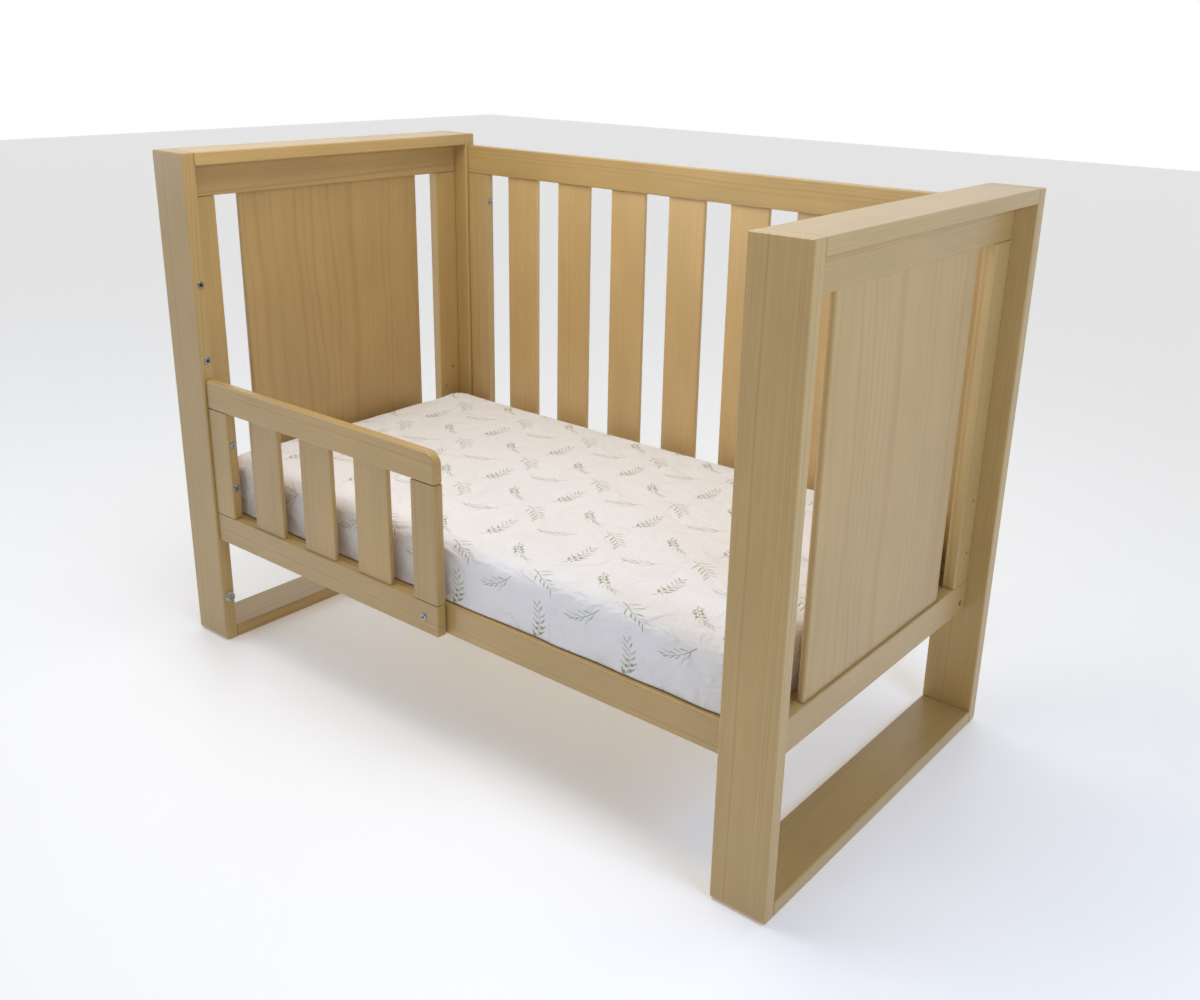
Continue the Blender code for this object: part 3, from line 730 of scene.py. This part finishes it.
shape = bmesh.new()
shape.from_mesh(mattress.data)
under = [face for face in shape.faces if face.calc_center_median().z < HEM]
bmesh.ops.delete(shape, geom=under, context='FACES')
shape.normal_update()
normals = [vertex.normal.copy() for vertex in shape.verts]
heights = [GAP + fold(vertex.co, vertex.normal) for vertex in shape.verts]
cut = shape.loops.layers.uv.new("cut")
for face in shape.faces:
    for loop in face.loops:
        loop[cut].uv = place_on_cut(loop.vert.co, face)
for vertex, normal, height in zip(shape.verts, normals, heights):
    vertex.co = hung(vertex.co, normal, height)
print("the sheet stands", round(1000 * min(heights), 2), "to", round(1000 * max(heights), 2),
      "mm off the mattress")

# %% [markdown]
# ## The printed cotton
#
# The ground is an off-white percale: a fine, even weave with hardly any gloss and a faint bloom of loose
# fibres, which sheen gives. Its threads are 0.25 mm apart, too fine to show, so they are drawn 1.4 mm
# apart. The print is a loose half-drop of olive-green sprigs, each about 80 mm long, on a 94 mm repeat.
# An image would be the usual way, but the sprigs follow a rule, so the shader draws them: in each cell it
# turns the point into the sprig's own place, folds the two sides of the stem together, and asks which of
# the nearest leaves it falls in. Two by two cells differ in turn, bend, leaf length and berries.
# The leaves and the berries are this lesson's own design.

# %% Drawing a sprig
# Sizes on the cloth in mm.
REPEAT = 94.0
STEM = 72.0
LEAF_HALF_WIDTH = 1.9
BERRY, BERRY_OFF = 3.4, 5.2
BERRIES_FROM, BERRIES_TO = -24.0, 4.0


def sprig_print(tree, place):
    """Nodes that give how much ink lies at a place on the cloth, in mm, from 0 to 1."""
    grid = add(tree, VECTOR, {0: place, "Scale": 1 / REPEAT}, operation='SCALE')
    cell = add(tree, "ShaderNodeSeparateXYZ", {0: grid})
    column = add(tree, MATH, {0: cell.outputs[0]}, operation='FLOOR')
    odd = add(tree, MATH, {0: column, 1: 2.0}, operation='FLOORED_MODULO')
    dropped = add(tree, MATH, {0: odd, 1: 0.5, 2: cell.outputs[1]}, operation='MULTIPLY_ADD')
    row = add(tree, MATH, {0: dropped}, operation='FLOOR')
    even = add(tree, MATH, {0: row, 1: 2.0}, operation='FLOORED_MODULO')
    kind = add(tree, MATH, {0: even, 1: 2.0, 2: odd}, operation='MULTIPLY_ADD')
    across = add(tree, MATH, {0: cell.outputs[0]}, operation='FRACT')
    along = add(tree, MATH, {0: dropped}, operation='FRACT')
    inside = add(tree, "ShaderNodeCombineXYZ", {"X": across, "Y": along})
    inside = add(tree, VECTOR, {0: inside, 1: (0.5, 0.5, 0.0)}, operation='SUBTRACT')
    inside = add(tree, VECTOR, {0: inside, "Scale": REPEAT}, operation='SCALE')

    # Each of the four kinds has its own turn, bend and leaves.
    turn = add(tree, MATH, {0: kind, 1: 2.1, 2: 0.6}, operation='MULTIPLY_ADD')
    bend = add(tree, "ShaderNodeMapRange", {0: even, 3: 0.0050, 4: -0.0065})
    length = add(tree, "ShaderNodeMapRange", {0: kind, 2: 3.0, 3: 27.0, 4: 20.0})
    breadth = add(tree, "ShaderNodeMapRange", {0: odd, 3: 4 * LEAF_HALF_WIDTH, 4: 2.6 * LEAF_HALF_WIDTH})
    step = add(tree, "ShaderNodeMapRange", {0: kind, 2: 3.0, 3: 12.0, 4: 10.0})
    turned = add(tree, "ShaderNodeVectorRotate", {"Vector": inside, "Angle": turn}, rotation_type='Z_AXIS')
    own = add(tree, "ShaderNodeSeparateXYZ", {0: turned})
    x = own.outputs[0]
    square = add(tree, MATH, {0: x, 1: x}, operation='MULTIPLY')
    square = add(tree, MATH, {0: square, 1: -200.0}, operation='ADD')
    bow = add(tree, MATH, {0: square, 1: bend, 2: own.outputs[1]}, operation='MULTIPLY_ADD')
    side = add(tree, MATH, {0: bow}, operation='SIGN')
    off = add(tree, MATH, {0: bow}, operation='ABSOLUTE')
    half_step = add(tree, MATH, {0: step, 1: 0.25}, operation='MULTIPLY')
    shifted = add(tree, MATH, {0: side, 1: half_step, 2: x}, operation='MULTIPLY_ADD')
    count = add(tree, MATH, {0: shifted, 1: step}, operation='DIVIDE')
    nearest = add(tree, MATH, {0: count}, operation='FLOOR')

    # The stem thins towards its tip.
    thick = add(tree, "ShaderNodeMapRange", {0: x, 1: -STEM / 2, 2: STEM / 2, 3: 0.75, 4: 0.25})
    ink = add(tree, MATH, {0: thick, 1: off}, operation='SUBTRACT')
    ink = add(tree, "ShaderNodeMapRange", {0: ink, 1: -0.25, 2: 0.25})
    reach = add(tree, MATH, {0: x}, operation='ABSOLUTE')
    ends = add(tree, MATH, {0: reach, 1: STEM / 2}, operation='LESS_THAN')
    ink = add(tree, MATH, {0: ink, 1: ends}, operation='MULTIPLY')

    for behind in range(3):
        index = add(tree, MATH, {0: nearest, 1: behind}, operation='SUBTRACT')
        root = add(tree, MATH, {0: index, 1: step}, operation='MULTIPLY')
        ahead_of_root = add(tree, MATH, {0: shifted, 1: root}, operation='SUBTRACT')
        label = add(tree, "ShaderNodeCombineXYZ", {"X": index, "Y": side, "Z": kind})
        luck = add(tree, "ShaderNodeTexWhiteNoise", {"Vector": label})
        share = add(tree, MATH, {0: root, 1: 1 / STEM, 2: 0.5}, operation='MULTIPLY_ADD')
        angle = add(tree, "ShaderNodeMapRange", {0: share, 3: 0.85, 4: 0.40})
        angle = add(tree, MATH, {0: odd, 1: -0.32, 2: angle}, operation='MULTIPLY_ADD')
        angle = add(tree, MATH, {0: luck.outputs[0], 1: 0.35, 2: angle}, operation='MULTIPLY_ADD')
        cosine = add(tree, MATH, {0: angle}, operation='COSINE')
        sine = add(tree, MATH, {0: angle}, operation='SINE')
        taper = add(tree, "ShaderNodeMapRange", {0: share, 3: 1.0, 4: 0.65})
        size = add(tree, "ShaderNodeMapRange", {0: luck.outputs[0], 3: 0.85, 4: 1.2})
        size = add(tree, MATH, {0: size, 1: taper}, operation='MULTIPLY')
        blade = add(tree, MATH, {0: size, 1: length}, operation='MULTIPLY')
        lift = add(tree, MATH, {0: off, 1: sine}, operation='MULTIPLY')
        forward = add(tree, MATH, {0: ahead_of_root, 1: cosine, 2: lift}, operation='MULTIPLY_ADD')
        forward = add(tree, MATH, {0: forward, 1: blade}, operation='DIVIDE')
        lean = add(tree, MATH, {0: ahead_of_root, 1: sine}, operation='MULTIPLY')
        beside = add(tree, MATH, {0: off, 1: cosine}, operation='MULTIPLY')
        beside = add(tree, MATH, {0: beside, 1: lean}, operation='SUBTRACT')
        rest = add(tree, MATH, {0: 1.0, 1: forward}, operation='SUBTRACT')
        curve = add(tree, MATH, {0: forward, 1: rest}, operation='MULTIPLY')
        beside = add(tree, MATH, {0: curve, 1: -3.0, 2: beside}, operation='MULTIPLY_ADD')
        beside = add(tree, MATH, {0: beside}, operation='ABSOLUTE')
        width = add(tree, MATH, {0: curve, 1: breadth}, operation='MULTIPLY')
        leaf = add(tree, MATH, {0: width, 1: beside}, operation='SUBTRACT')
        leaf = add(tree, "ShaderNodeMapRange", {0: leaf, 1: 0.0, 2: 0.5})
        after = add(tree, MATH, {0: share, 1: 0.06}, operation='GREATER_THAN')
        before = add(tree, MATH, {0: share, 1: 0.97}, operation='LESS_THAN')
        grows = add(tree, MATH, {0: after, 1: before}, operation='MULTIPLY')
        wash = add(tree, "ShaderNodeMapRange", {0: luck.outputs[0], 3: 0.95, 4: 0.45})
        grows = add(tree, MATH, {0: grows, 1: wash}, operation='MULTIPLY')
        leaf = add(tree, MATH, {0: leaf, 1: grows}, operation='MULTIPLY')
        ink = add(tree, MATH, {0: ink, 1: leaf}, operation='MAXIMUM')

    # Berries on every second kind, in a few places low on the stem.
    spot = add(tree, MATH, {0: count}, operation='FRACT')
    spot = add(tree, MATH, {0: spot, 1: -0.45}, operation='ADD')
    spot = add(tree, MATH, {0: spot, 1: step}, operation='MULTIPLY')
    drop = add(tree, MATH, {0: off, 1: -BERRY_OFF}, operation='ADD')
    berry = add(tree, "ShaderNodeCombineXYZ", {"X": spot, "Y": drop})
    berry = add(tree, VECTOR, {0: berry}, operation='LENGTH').outputs["Value"]
    berry = add(tree, "ShaderNodeMapRange", {0: berry, 1: BERRY, 2: BERRY - 0.5})
    before = add(tree, "ShaderNodeMapRange", {0: x, 1: BERRIES_TO, 2: BERRIES_TO + 0.1, 3: 1.0, 4: 0.0})
    after = add(tree, "ShaderNodeMapRange", {0: x, 1: BERRIES_FROM, 2: BERRIES_FROM + 0.1})
    bears = add(tree, MATH, {0: before, 1: after}, operation='MULTIPLY')
    bears = add(tree, MATH, {0: bears, 1: even}, operation='MULTIPLY')
    berry = add(tree, MATH, {0: berry, 1: bears}, operation='MULTIPLY')
    return add(tree, MATH, {0: ink, 1: berry}, operation='MAXIMUM')


def make_percale(name, ground, ink_colour):
    """Printed cotton percale on the sheet's own map."""
    material, tree, shader = start_material(name)
    flat = add(tree, "ShaderNodeUVMap", uv_map="cut")
    place = add(tree, VECTOR, {0: flat, "Scale": 1000.0}, operation='SCALE')
    ragged = add(tree, "ShaderNodeTexNoise", {"Vector": place, "Scale": 0.45, "Detail": 2.0})
    ragged = add(tree, VECTOR, {0: ragged.outputs["Color"], 1: (0.5, 0.5, 0.5)}, operation='SUBTRACT')
    ragged = add(tree, VECTOR, {0: ragged, "Scale": 1.6}, operation='SCALE')
    ragged = add(tree, VECTOR, {0: place, 1: ragged}, operation='ADD')
    ink = sprig_print(tree, ragged)
    wash = add(tree, "ShaderNodeTexNoise", {"Vector": place, "Scale": 0.16, "Detail": 3.0})
    wash = add(tree, "ShaderNodeMapRange", {0: wash, 1: 0.3, 2: 0.7, 3: 0.55, 4: 0.95})
    ink = add(tree, MATH, {0: ink, 1: wash}, operation='MULTIPLY')

    warp = add(tree, "ShaderNodeTexWave", {"Vector": place, "Scale": 0.225}, bands_direction='X')
    weft = add(tree, "ShaderNodeTexWave", {"Vector": place, "Scale": 0.225}, bands_direction='Y')
    weave = add(tree, MATH, {0: warp, 1: weft}, operation='MULTIPLY')
    slub = add(tree, "ShaderNodeTexNoise", {"Vector": place, "Scale": 0.02, "Detail": 3.0})
    shade = add(tree, "ShaderNodeMapRange", {0: weave, 3: 0.975, 4: 1.01})
    cloud = add(tree, "ShaderNodeMapRange", {0: slub, 1: 0.3, 2: 0.7, 3: 0.985, 4: 1.01})
    shade = add(tree, MATH, {0: shade, 1: cloud}, operation='MULTIPLY')
    colour = add(tree, "ShaderNodeMix", {0: ink, 6: linear(ground), 7: linear(ink_colour)},
                 data_type='RGBA').outputs[2]
    colour = add(tree, VECTOR, {0: colour, "Scale": shade}, operation='SCALE')

    # Soft creases some 60 mm apart, left from folding, and the weave on top of them.
    crease = add(tree, "ShaderNodeTexNoise",
                 {"Vector": place, "Scale": 0.016, "Detail": 4.0, "Distortion": 0.9})
    crease = add(tree, "ShaderNodeMapRange", {0: crease, 1: 0.35, 2: 0.65}, interpolation_type='SMOOTHSTEP')
    creased = add(tree, "ShaderNodeBump", {"Strength": 0.50, "Distance": 0.006, "Height": crease})
    woven = add(tree, "ShaderNodeBump",
                {"Strength": 0.35, "Distance": 0.00015, "Height": weave, "Normal": creased})
    rough = add(tree, "ShaderNodeMapRange", {0: weave, 3: 0.95, 4: 0.85})
    fill(shader, {"Base Color": colour, "Roughness": rough, "Normal": woven, "IOR": 1.5,
                  "Specular IOR Level": 0.3, "Sheen Weight": 0.25, "Sheen Roughness": 0.5})
    return material


def make_ticking(name, ground, line):
    """Undyed cotton ticking with a fine woven stripe every 20 mm."""
    material, tree, shader = start_material(name)
    place = add(tree, "ShaderNodeTexCoord").outputs["Object"]
    stripe = add(tree, "ShaderNodeTexWave", {"Vector": place, "Scale": 15.7}, bands_direction='Y')
    stripe = add(tree, "ShaderNodeMapRange", {0: stripe, 1: 0.93, 2: 0.97})
    twill = add(tree, "ShaderNodeTexWave", {"Vector": place, "Scale": 180.0}, bands_direction='DIAGONAL')
    colour = add(tree, "ShaderNodeMix", {0: stripe, 6: linear(ground), 7: linear(line)},
                 data_type='RGBA').outputs[2]
    bump = add(tree, "ShaderNodeBump", {"Strength": 0.3, "Distance": 0.0002, "Height": twill})
    fill(shader, {"Base Color": colour, "Normal": bump, "Roughness": 0.92, "Sheen Weight": 0.15})
    return material


# Printed percale: matt and even, with a soft bloom. Ticking: thicker and coarser, with a faint stripe.
PERCALE = make_percale("printed_cotton_percale", "#F4F2F2", "#7F8B4A")
TICKING = make_ticking("woven_cotton_ticking", "#E9E5DB", "#A9B2BC")
print("the print takes", len(PERCALE.node_tree.nodes), "nodes")

# %% [markdown]
# The sheet's one layer gets its thickness outwards, so the gap to the mattress stays.

# %% The sheet on the mattress
sheet = link_mesh("fitted_sheet_cotton", shape, PERCALE)
sheet.data.shade_smooth()
thick = sheet.modifiers.new("cloth thickness", 'SOLIDIFY')
thick.thickness = CLOTH
thick.offset = 1.0
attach(sheet, "mattress")
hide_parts("fitted_sheet")

mattress.data.materials.clear()
mattress.data.materials.append(TICKING)
mattress.data.shade_smooth()
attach(mattress, "mattress")
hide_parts("mattress")

# %% [markdown]
# ## Bolts, inserts and the bumper
#
# All the metal is zinc-plated steel: bright grey, fairly smooth and a little cloudy. A bolt's head is a
# low button with a hex socket. A head could be modelled once for each place, but one turned head and a
# Geometry Nodes tree that sets it on points is shorter, and each copy gets its own turn, as hand-driven
# bolts do. The tree reads each point's direction from an attribute, so one tree serves every fitting.

# %% Metal and clear plastic
def make_steel(name, ground, dark, roughness):
    """Zinc-plated steel with the faint cloudiness of the plating."""
    material, tree, shader = start_material(name)
    place = add(tree, "ShaderNodeTexCoord").outputs["Object"]
    cloud = add(tree, "ShaderNodeTexNoise", {"Vector": place, "Scale": 700.0, "Detail": 3.0})
    colour = add(tree, "ShaderNodeMix", {0: cloud.outputs[0], 6: linear(dark), 7: linear(ground)},
                 data_type='RGBA').outputs[2]
    rough = add(tree, "ShaderNodeMapRange",
                {0: cloud, 1: 0.3, 2: 0.7, 3: roughness + 0.06, 4: roughness - 0.06})
    grain = add(tree, "ShaderNodeTexNoise", {"Vector": place, "Scale": 2500.0, "Detail": 2.0})
    bump = add(tree, "ShaderNodeBump", {"Strength": 0.15, "Distance": 0.00005, "Height": grain})
    fill(shader, {"Base Color": colour, "Roughness": rough, "Normal": bump, "Metallic": 1.0})
    return material


def make_clear(name, tint):
    """Clear soft PVC: it lets light through, with a slight haze and a fine moulded skin."""
    material, tree, shader = start_material(name)
    place = add(tree, "ShaderNodeTexCoord").outputs["Object"]
    haze = add(tree, "ShaderNodeTexNoise", {"Vector": place, "Scale": 500.0, "Detail": 2.0})
    rough = add(tree, "ShaderNodeMapRange", {0: haze, 3: 0.14, 4: 0.24})
    bump = add(tree, "ShaderNodeBump", {"Strength": 0.1, "Distance": 0.00005, "Height": haze})
    fill(shader, {"Base Color": linear(tint), "Roughness": rough, "Normal": bump,
                  "Transmission Weight": 0.75, "IOR": 1.53})
    return material


# Zinc plating is bright and slightly cloudy, and the soft plastic is clear with a faint haze.
ZINC = make_steel("zinc_plated_steel", "#B2B4B6", "#85878A", 0.26)
CLEAR = make_clear("clear_soft_pvc", "#E6E9E6")
print("metal and plastic:", ZINC.name, CLEAR.name)

# %% [markdown]
# A turned part is a half outline spun about its axis, as on a lathe. A head's outline starts and ends on
# the axis, and a hollow part's ends where it starts, so that both close. A six-sided cutter then cuts the
# socket.

# %% Turned parts
def turned(name, outline, material, sockets=0.0, depth=0.0):
    """Spin an outline of (radius, height) points about Z, and cut a hex socket into its top."""
    shape = bmesh.new()
    line = [shape.verts.new((radius, 0.0, height)) for radius, height in outline]
    edges = [shape.edges.new(pair) for pair in zip(line, line[1:])]
    bmesh.ops.spin(shape, geom=line + edges, cent=(0, 0, 0), axis=(0, 0, 1), angle=2 * math.pi,
                   steps=40, use_merge=True)
    bmesh.ops.remove_doubles(shape, verts=shape.verts, dist=1e-6)
    piece = link_mesh(name, shape, material)
    if sockets:
        cutter = bmesh.new()
        top = max(height for radius, height in outline)
        radius = sockets / 2 / math.cos(math.pi / 6)
        bmesh.ops.create_cone(cutter, cap_ends=True, segments=6, radius1=radius, radius2=radius,
                              depth=2 * depth, matrix=Matrix.Translation((0, 0, top)))
        hexagon = link_mesh("hexagon", cutter)
        applied(piece, 'BOOLEAN', object=hexagon, solver='EXACT')
        bpy.data.objects.remove(hexagon)
    return piece


QUARTER = [math.radians(15 * i) for i in range(7)]  # a quarter round in steps


def button(radius, height, rim, shank, length):
    """The half outline of a low button head with a rounded rim and its shank below."""
    over = [(0.0, height), (radius * 0.62, height)]
    over += [(radius * (0.62 + 0.38 * math.sin(a)), rim + (height - rim) * math.cos(a)) for a in QUARTER[1:]]
    return over + [(radius, 0.0), (shank, 0.0), (shank, -length), (0.0, -length)]


def fitting_tree():
    """Copies of one turned part on points, each facing its own way with its own turn."""
    tree, given, result = new_tree("fittings on points", Part="Object", Seed="Int", Material="Material")
    part = add(tree, "GeometryNodeObjectInfo", {"Object": given.outputs["Part"]}).outputs["Geometry"]
    facing = add(tree, "GeometryNodeInputNamedAttribute", {"Name": "facing"}, data_type='FLOAT_VECTOR')
    align = add(tree, "FunctionNodeAlignRotationToVector", {"Vector": facing.outputs[0]}, axis='Z')
    copies = add(tree, "GeometryNodeInstanceOnPoints",
                 {"Points": given.outputs["Geometry"], "Instance": part, "Rotation": align})
    luck = add(tree, "FunctionNodeRandomValue", {2: 0.0, 3: math.pi / 3, "Seed": given.outputs["Seed"]},
               data_type='FLOAT')
    spin = add(tree, "ShaderNodeCombineXYZ", {"Z": luck.outputs[1]})
    spun = add(tree, "GeometryNodeRotateInstances", {"Instances": copies, "Rotation": spin})
    real = add(tree, "GeometryNodeRealizeInstances", {"Geometry": spun})
    painted = add(tree, "GeometryNodeSetMaterial", {"Geometry": real, "Material": given.outputs["Material"]})
    fill(result, {0: painted})
    return tree


FITTINGS = fitting_tree()


def set_fittings(name, part, places, body, material, stands_for=(), seed=2):
    """Set copies of a part at each (place, facing), as one piece."""
    mesh = bpy.data.meshes.new(name)
    mesh.from_pydata([place for place, facing in places], [], [])
    flat = [number for place, facing in places for number in facing]
    mesh.attributes.new("facing", 'FLOAT_VECTOR', 'POINT').data.foreach_set("vector", flat)
    piece = grown(name, FITTINGS, mesh=mesh, Part=part, Seed=seed, Material=material)
    bpy.data.objects.remove(part)
    smooth(piece)
    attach(piece, body)
    if stands_for:
        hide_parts(*stands_for)
    print(name, "has", len(places), "copies and", len(piece.data.polygons), "faces")
    return piece


print("the fitting tree has", len(FITTINGS.nodes), "nodes")

# %% [markdown]
# Two bolts hold the guard's left stile to the post, one passes through its bottom rail, and four hold the
# back side, low and high. The base hangs on four smaller bolts, sunk into the bottom rails of the ends.

# %% Bolts
def face_of(node, facing):
    """The middle of a node's face that looks along x, or against it."""
    place = middle_of(node)
    place.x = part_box(node)[1].x if facing > 0 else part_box(node)[0].x
    return place


HEAD_HEIGHT, RIM, SHANK = 0.0022, 0.0007, 0.003


def bolt_head(radius, stub, socket, depth):
    """A button head with a hex socket, on a stub of its shank."""
    return turned("head", button(radius, HEAD_HEIGHT, RIM, SHANK, stub), ZINC, sockets=socket, depth=depth)


BACK_BOLT_HEIGHTS = (0.858, 0.352)
SUNK = 0.0036  # how deep a base bolt's head lies below the face
GUARD_BOLTS = ["guard_upper_bolt", "guard_lower_bolt", "guard_rail_bolt"]

stile = face_of("guard_left_stile", 1).x
guard_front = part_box("guard_bottom_rail")[0].y
upper, lower, rail = (middle_of(node) for node in GUARD_BOLTS)
places = [((stile, upper.y, upper.z), (1, 0, 0)), ((stile, lower.y, lower.z), (1, 0, 0)),
          ((rail.x, guard_front, rail.z), (0, -1, 0))]
for node, facing in (("back_left_stile", 1), ("back_right_stile", -1)):
    face = face_of(node, facing)
    places += [((face.x, face.y, z), (facing, 0, 0)) for z in BACK_BOLT_HEIGHTS]
head = bolt_head(radius=0.007, stub=0.003, socket=0.0045, depth=0.0019)
set_fittings("zinc_button_head_bolts", head, places, "frame", ZINC, GUARD_BOLTS, seed=4)

places, stood_for = [], []
for end in ("left", "right"):
    facing = -1 if end == "left" else 1
    for side in ("front", "rear"):
        node = f"{end}_{side}_base_bolt"
        face = face_of(node, facing)
        places.append(((face.x - facing * (HEAD_HEIGHT + SUNK), face.y, face.z), (facing, 0, 0)))
        stood_for.append(node)
head = bolt_head(radius=0.005, stub=0.0003, socket=0.004, depth=0.0016)
set_fittings("zinc_base_bolts", head, places, "frame", ZINC, stood_for, seed=6)

# %% [markdown]
# The inserts are steel sleeves with a flange and an open thread, zinc-plated as the bolts are. The thread
# is drawn as a row of fine rings down the bore. The bumper is a soft clear dome with a screw sunk in its
# middle.

# %% Inserts and bumper
FLANGE, FLANGE_HEIGHT, THREAD, WALL, SLEEVE = 0.0075, 0.0012, 0.0031, 0.005, 0.0098
BORE_END = -SLEEVE + 0.001
outline = [(THREAD + 0.0004, FLANGE_HEIGHT), (FLANGE - 0.0006, FLANGE_HEIGHT),
           (FLANGE - 0.0002, FLANGE_HEIGHT * 0.8), (FLANGE, FLANGE_HEIGHT * 0.45), (FLANGE, 0.0),
           (WALL, 0.0), (WALL, -SLEEVE), (0.0, -SLEEVE), (0.0, BORE_END), (THREAD, BORE_END)]
outline += [(THREAD + 0.00035 * (i % 2), BORE_END + 0.0005 * i) for i in range(1, 18)]
outline += [outline[0]]
sleeve = turned("sleeve", outline, ZINC)
places = [(Vector((post_high.x, middle_of(node).y, middle_of(node).z)), (1, 0, 0)) for node in INSERTS]
set_fittings("threaded_inserts", sleeve, places, "frame", ZINC, INSERTS, seed=9)

# The bumper: a rounded dome with a well for the screw, a hair above the post.
DOME_RADIUS, DOME_HEIGHT, SHOULDER = 0.0100, 0.0080, 0.0045
WELL, WELL_FLOOR, ABOVE_POST = 0.0036, 0.0045, 0.0002
centre = middle_of("post_bumper")
centre.x = post_high.x
dome = [(WELL, WELL_FLOOR), (WELL + 0.0004, DOME_HEIGHT - 0.0006)]
dome += [(DOME_RADIUS - SHOULDER * (1 - math.sin(a)), DOME_HEIGHT / 2 * (1 + math.cos(a))) for a in QUARTER]
dome += [(DOME_RADIUS - 0.0003, ABOVE_POST), (0.0, ABOVE_POST), (0.0, WELL_FLOOR), (WELL, WELL_FLOOR)]
bumper = turned("bumper", dome, CLEAR)
set_fittings("clear_bumper", bumper, [(centre, (1, 0, 0))], "frame", CLEAR, ["post_bumper"])
screw_head = button(radius=0.0034, height=0.0016, rim=0.0005, shank=0.0015, length=0.0001)
screw = turned("screw", screw_head, ZINC, sockets=0.0018, depth=0.001)
on_well_floor = centre + Vector((WELL_FLOOR + 0.0003, 0, 0))
set_fittings("bumper_screw", screw, [(on_well_floor, (1, 0, 0))], "frame", ZINC)

# %% [markdown]
# ## The studio
#
# A pale floor that glows a little, as a light table does, a bright far side of the room and large, soft
# lights show the wood without hard shadows. The top boards and the right end are the palest, the inside
# is warm, and the front stays a shade darker.

# %% Floor and lights
FLOOR, _, shader = start_material("pale_satin_floor")
fill(shader, {"Base Color": linear("#FAFAFA"), "Roughness": 0.4,
              "Emission Color": linear("#FFFFFF"), "Emission Strength": 0.2})
FLOOR_REACH = 12.0
BELOW_FEET = 0.0005  # so the floor doesn't share a plane with the feet
shape = bmesh.new()
bmesh.ops.create_grid(shape, x_segments=1, y_segments=1, size=FLOOR_REACH)
floor = link_mesh("floor", shape, FLOOR)
floor.location.z = -BELOW_FEET

# The far side of the room is the brightest, and it dims towards the ceiling. A pale band low down runs all
# the way round, so that no view has a dark horizon.
FAR_SIDE = (-0.55, 0.83, 0.0)
world = bpy.data.worlds.new("studio")
scene.world = world
world.use_nodes = True
sky = world.node_tree
way = add(sky, "ShaderNodeTexCoord").outputs["Generated"]
toward = add(sky, VECTOR, {0: way, 1: FAR_SIDE}, operation='DOT_PRODUCT').outputs["Value"]
far_side = add(sky, "ShaderNodeMapRange", {0: toward, 1: -0.3, 2: 0.6, 3: 0.06, 4: 1.0},
               interpolation_type='SMOOTHSTEP')
upward = add(sky, "ShaderNodeSeparateXYZ", {0: way}).outputs["Z"]
ceiling = add(sky, "ShaderNodeMapRange", {0: upward, 1: 0.2, 2: 0.9, 3: 1.0, 4: 0.55})
far_side = add(sky, MATH, {0: far_side, 1: ceiling}, operation='MULTIPLY')
skirting = add(sky, "ShaderNodeMapRange", {0: upward, 1: 0.15, 2: 0.35, 3: 0.72, 4: 0.0},
               interpolation_type='SMOOTHSTEP')
pale = add(sky, MATH, {0: far_side, 1: skirting}, operation='MAXIMUM')
fill(sky.nodes["Background"], {"Color": linear("#FFFFFF"), "Strength": pale})


def soft_light(name, place, aim, size, power, colour="#FFFFFF"):
    """A large square light at place that faces aim."""
    data = bpy.data.lights.new(name, 'AREA')
    data.size = size
    data.energy = power
    data.color = linear(colour)[:3]
    item = bpy.data.objects.new(name, data)
    item.location = place
    item.rotation_euler = (Vector(aim) - Vector(place)).to_track_quat('-Z', 'Y').to_euler()
    scene.collection.objects.link(item)


# A sun this wide is no sun but the even light of a high window.
high_window = bpy.data.objects.new("high_window", bpy.data.lights.new("high_window", 'SUN'))
high_window.data.energy = 0.5
high_window.data.angle = math.radians(60)
scene.collection.objects.link(high_window)
soft_light("overhead", (-0.12, -0.32, 1.9), (0, 0.3, 0.5), 0.9, 13.5, "#FFFCF8")
soft_light("right_side", (2.0, -0.5, 1.4), (0.7, -0.1, 0.9), 0.7, 14, "#B8D2FF")
soft_light("left_front", (-3.0, -2.4, 1.6), (-0.7, -0.3, 0.6), 2.0, 22, "#C6D9FF")
print("the studio has a wide high window, three soft lights and a pale floor")

# %% [markdown]
# ## The end

# %% The end
print("the cot is dressed")
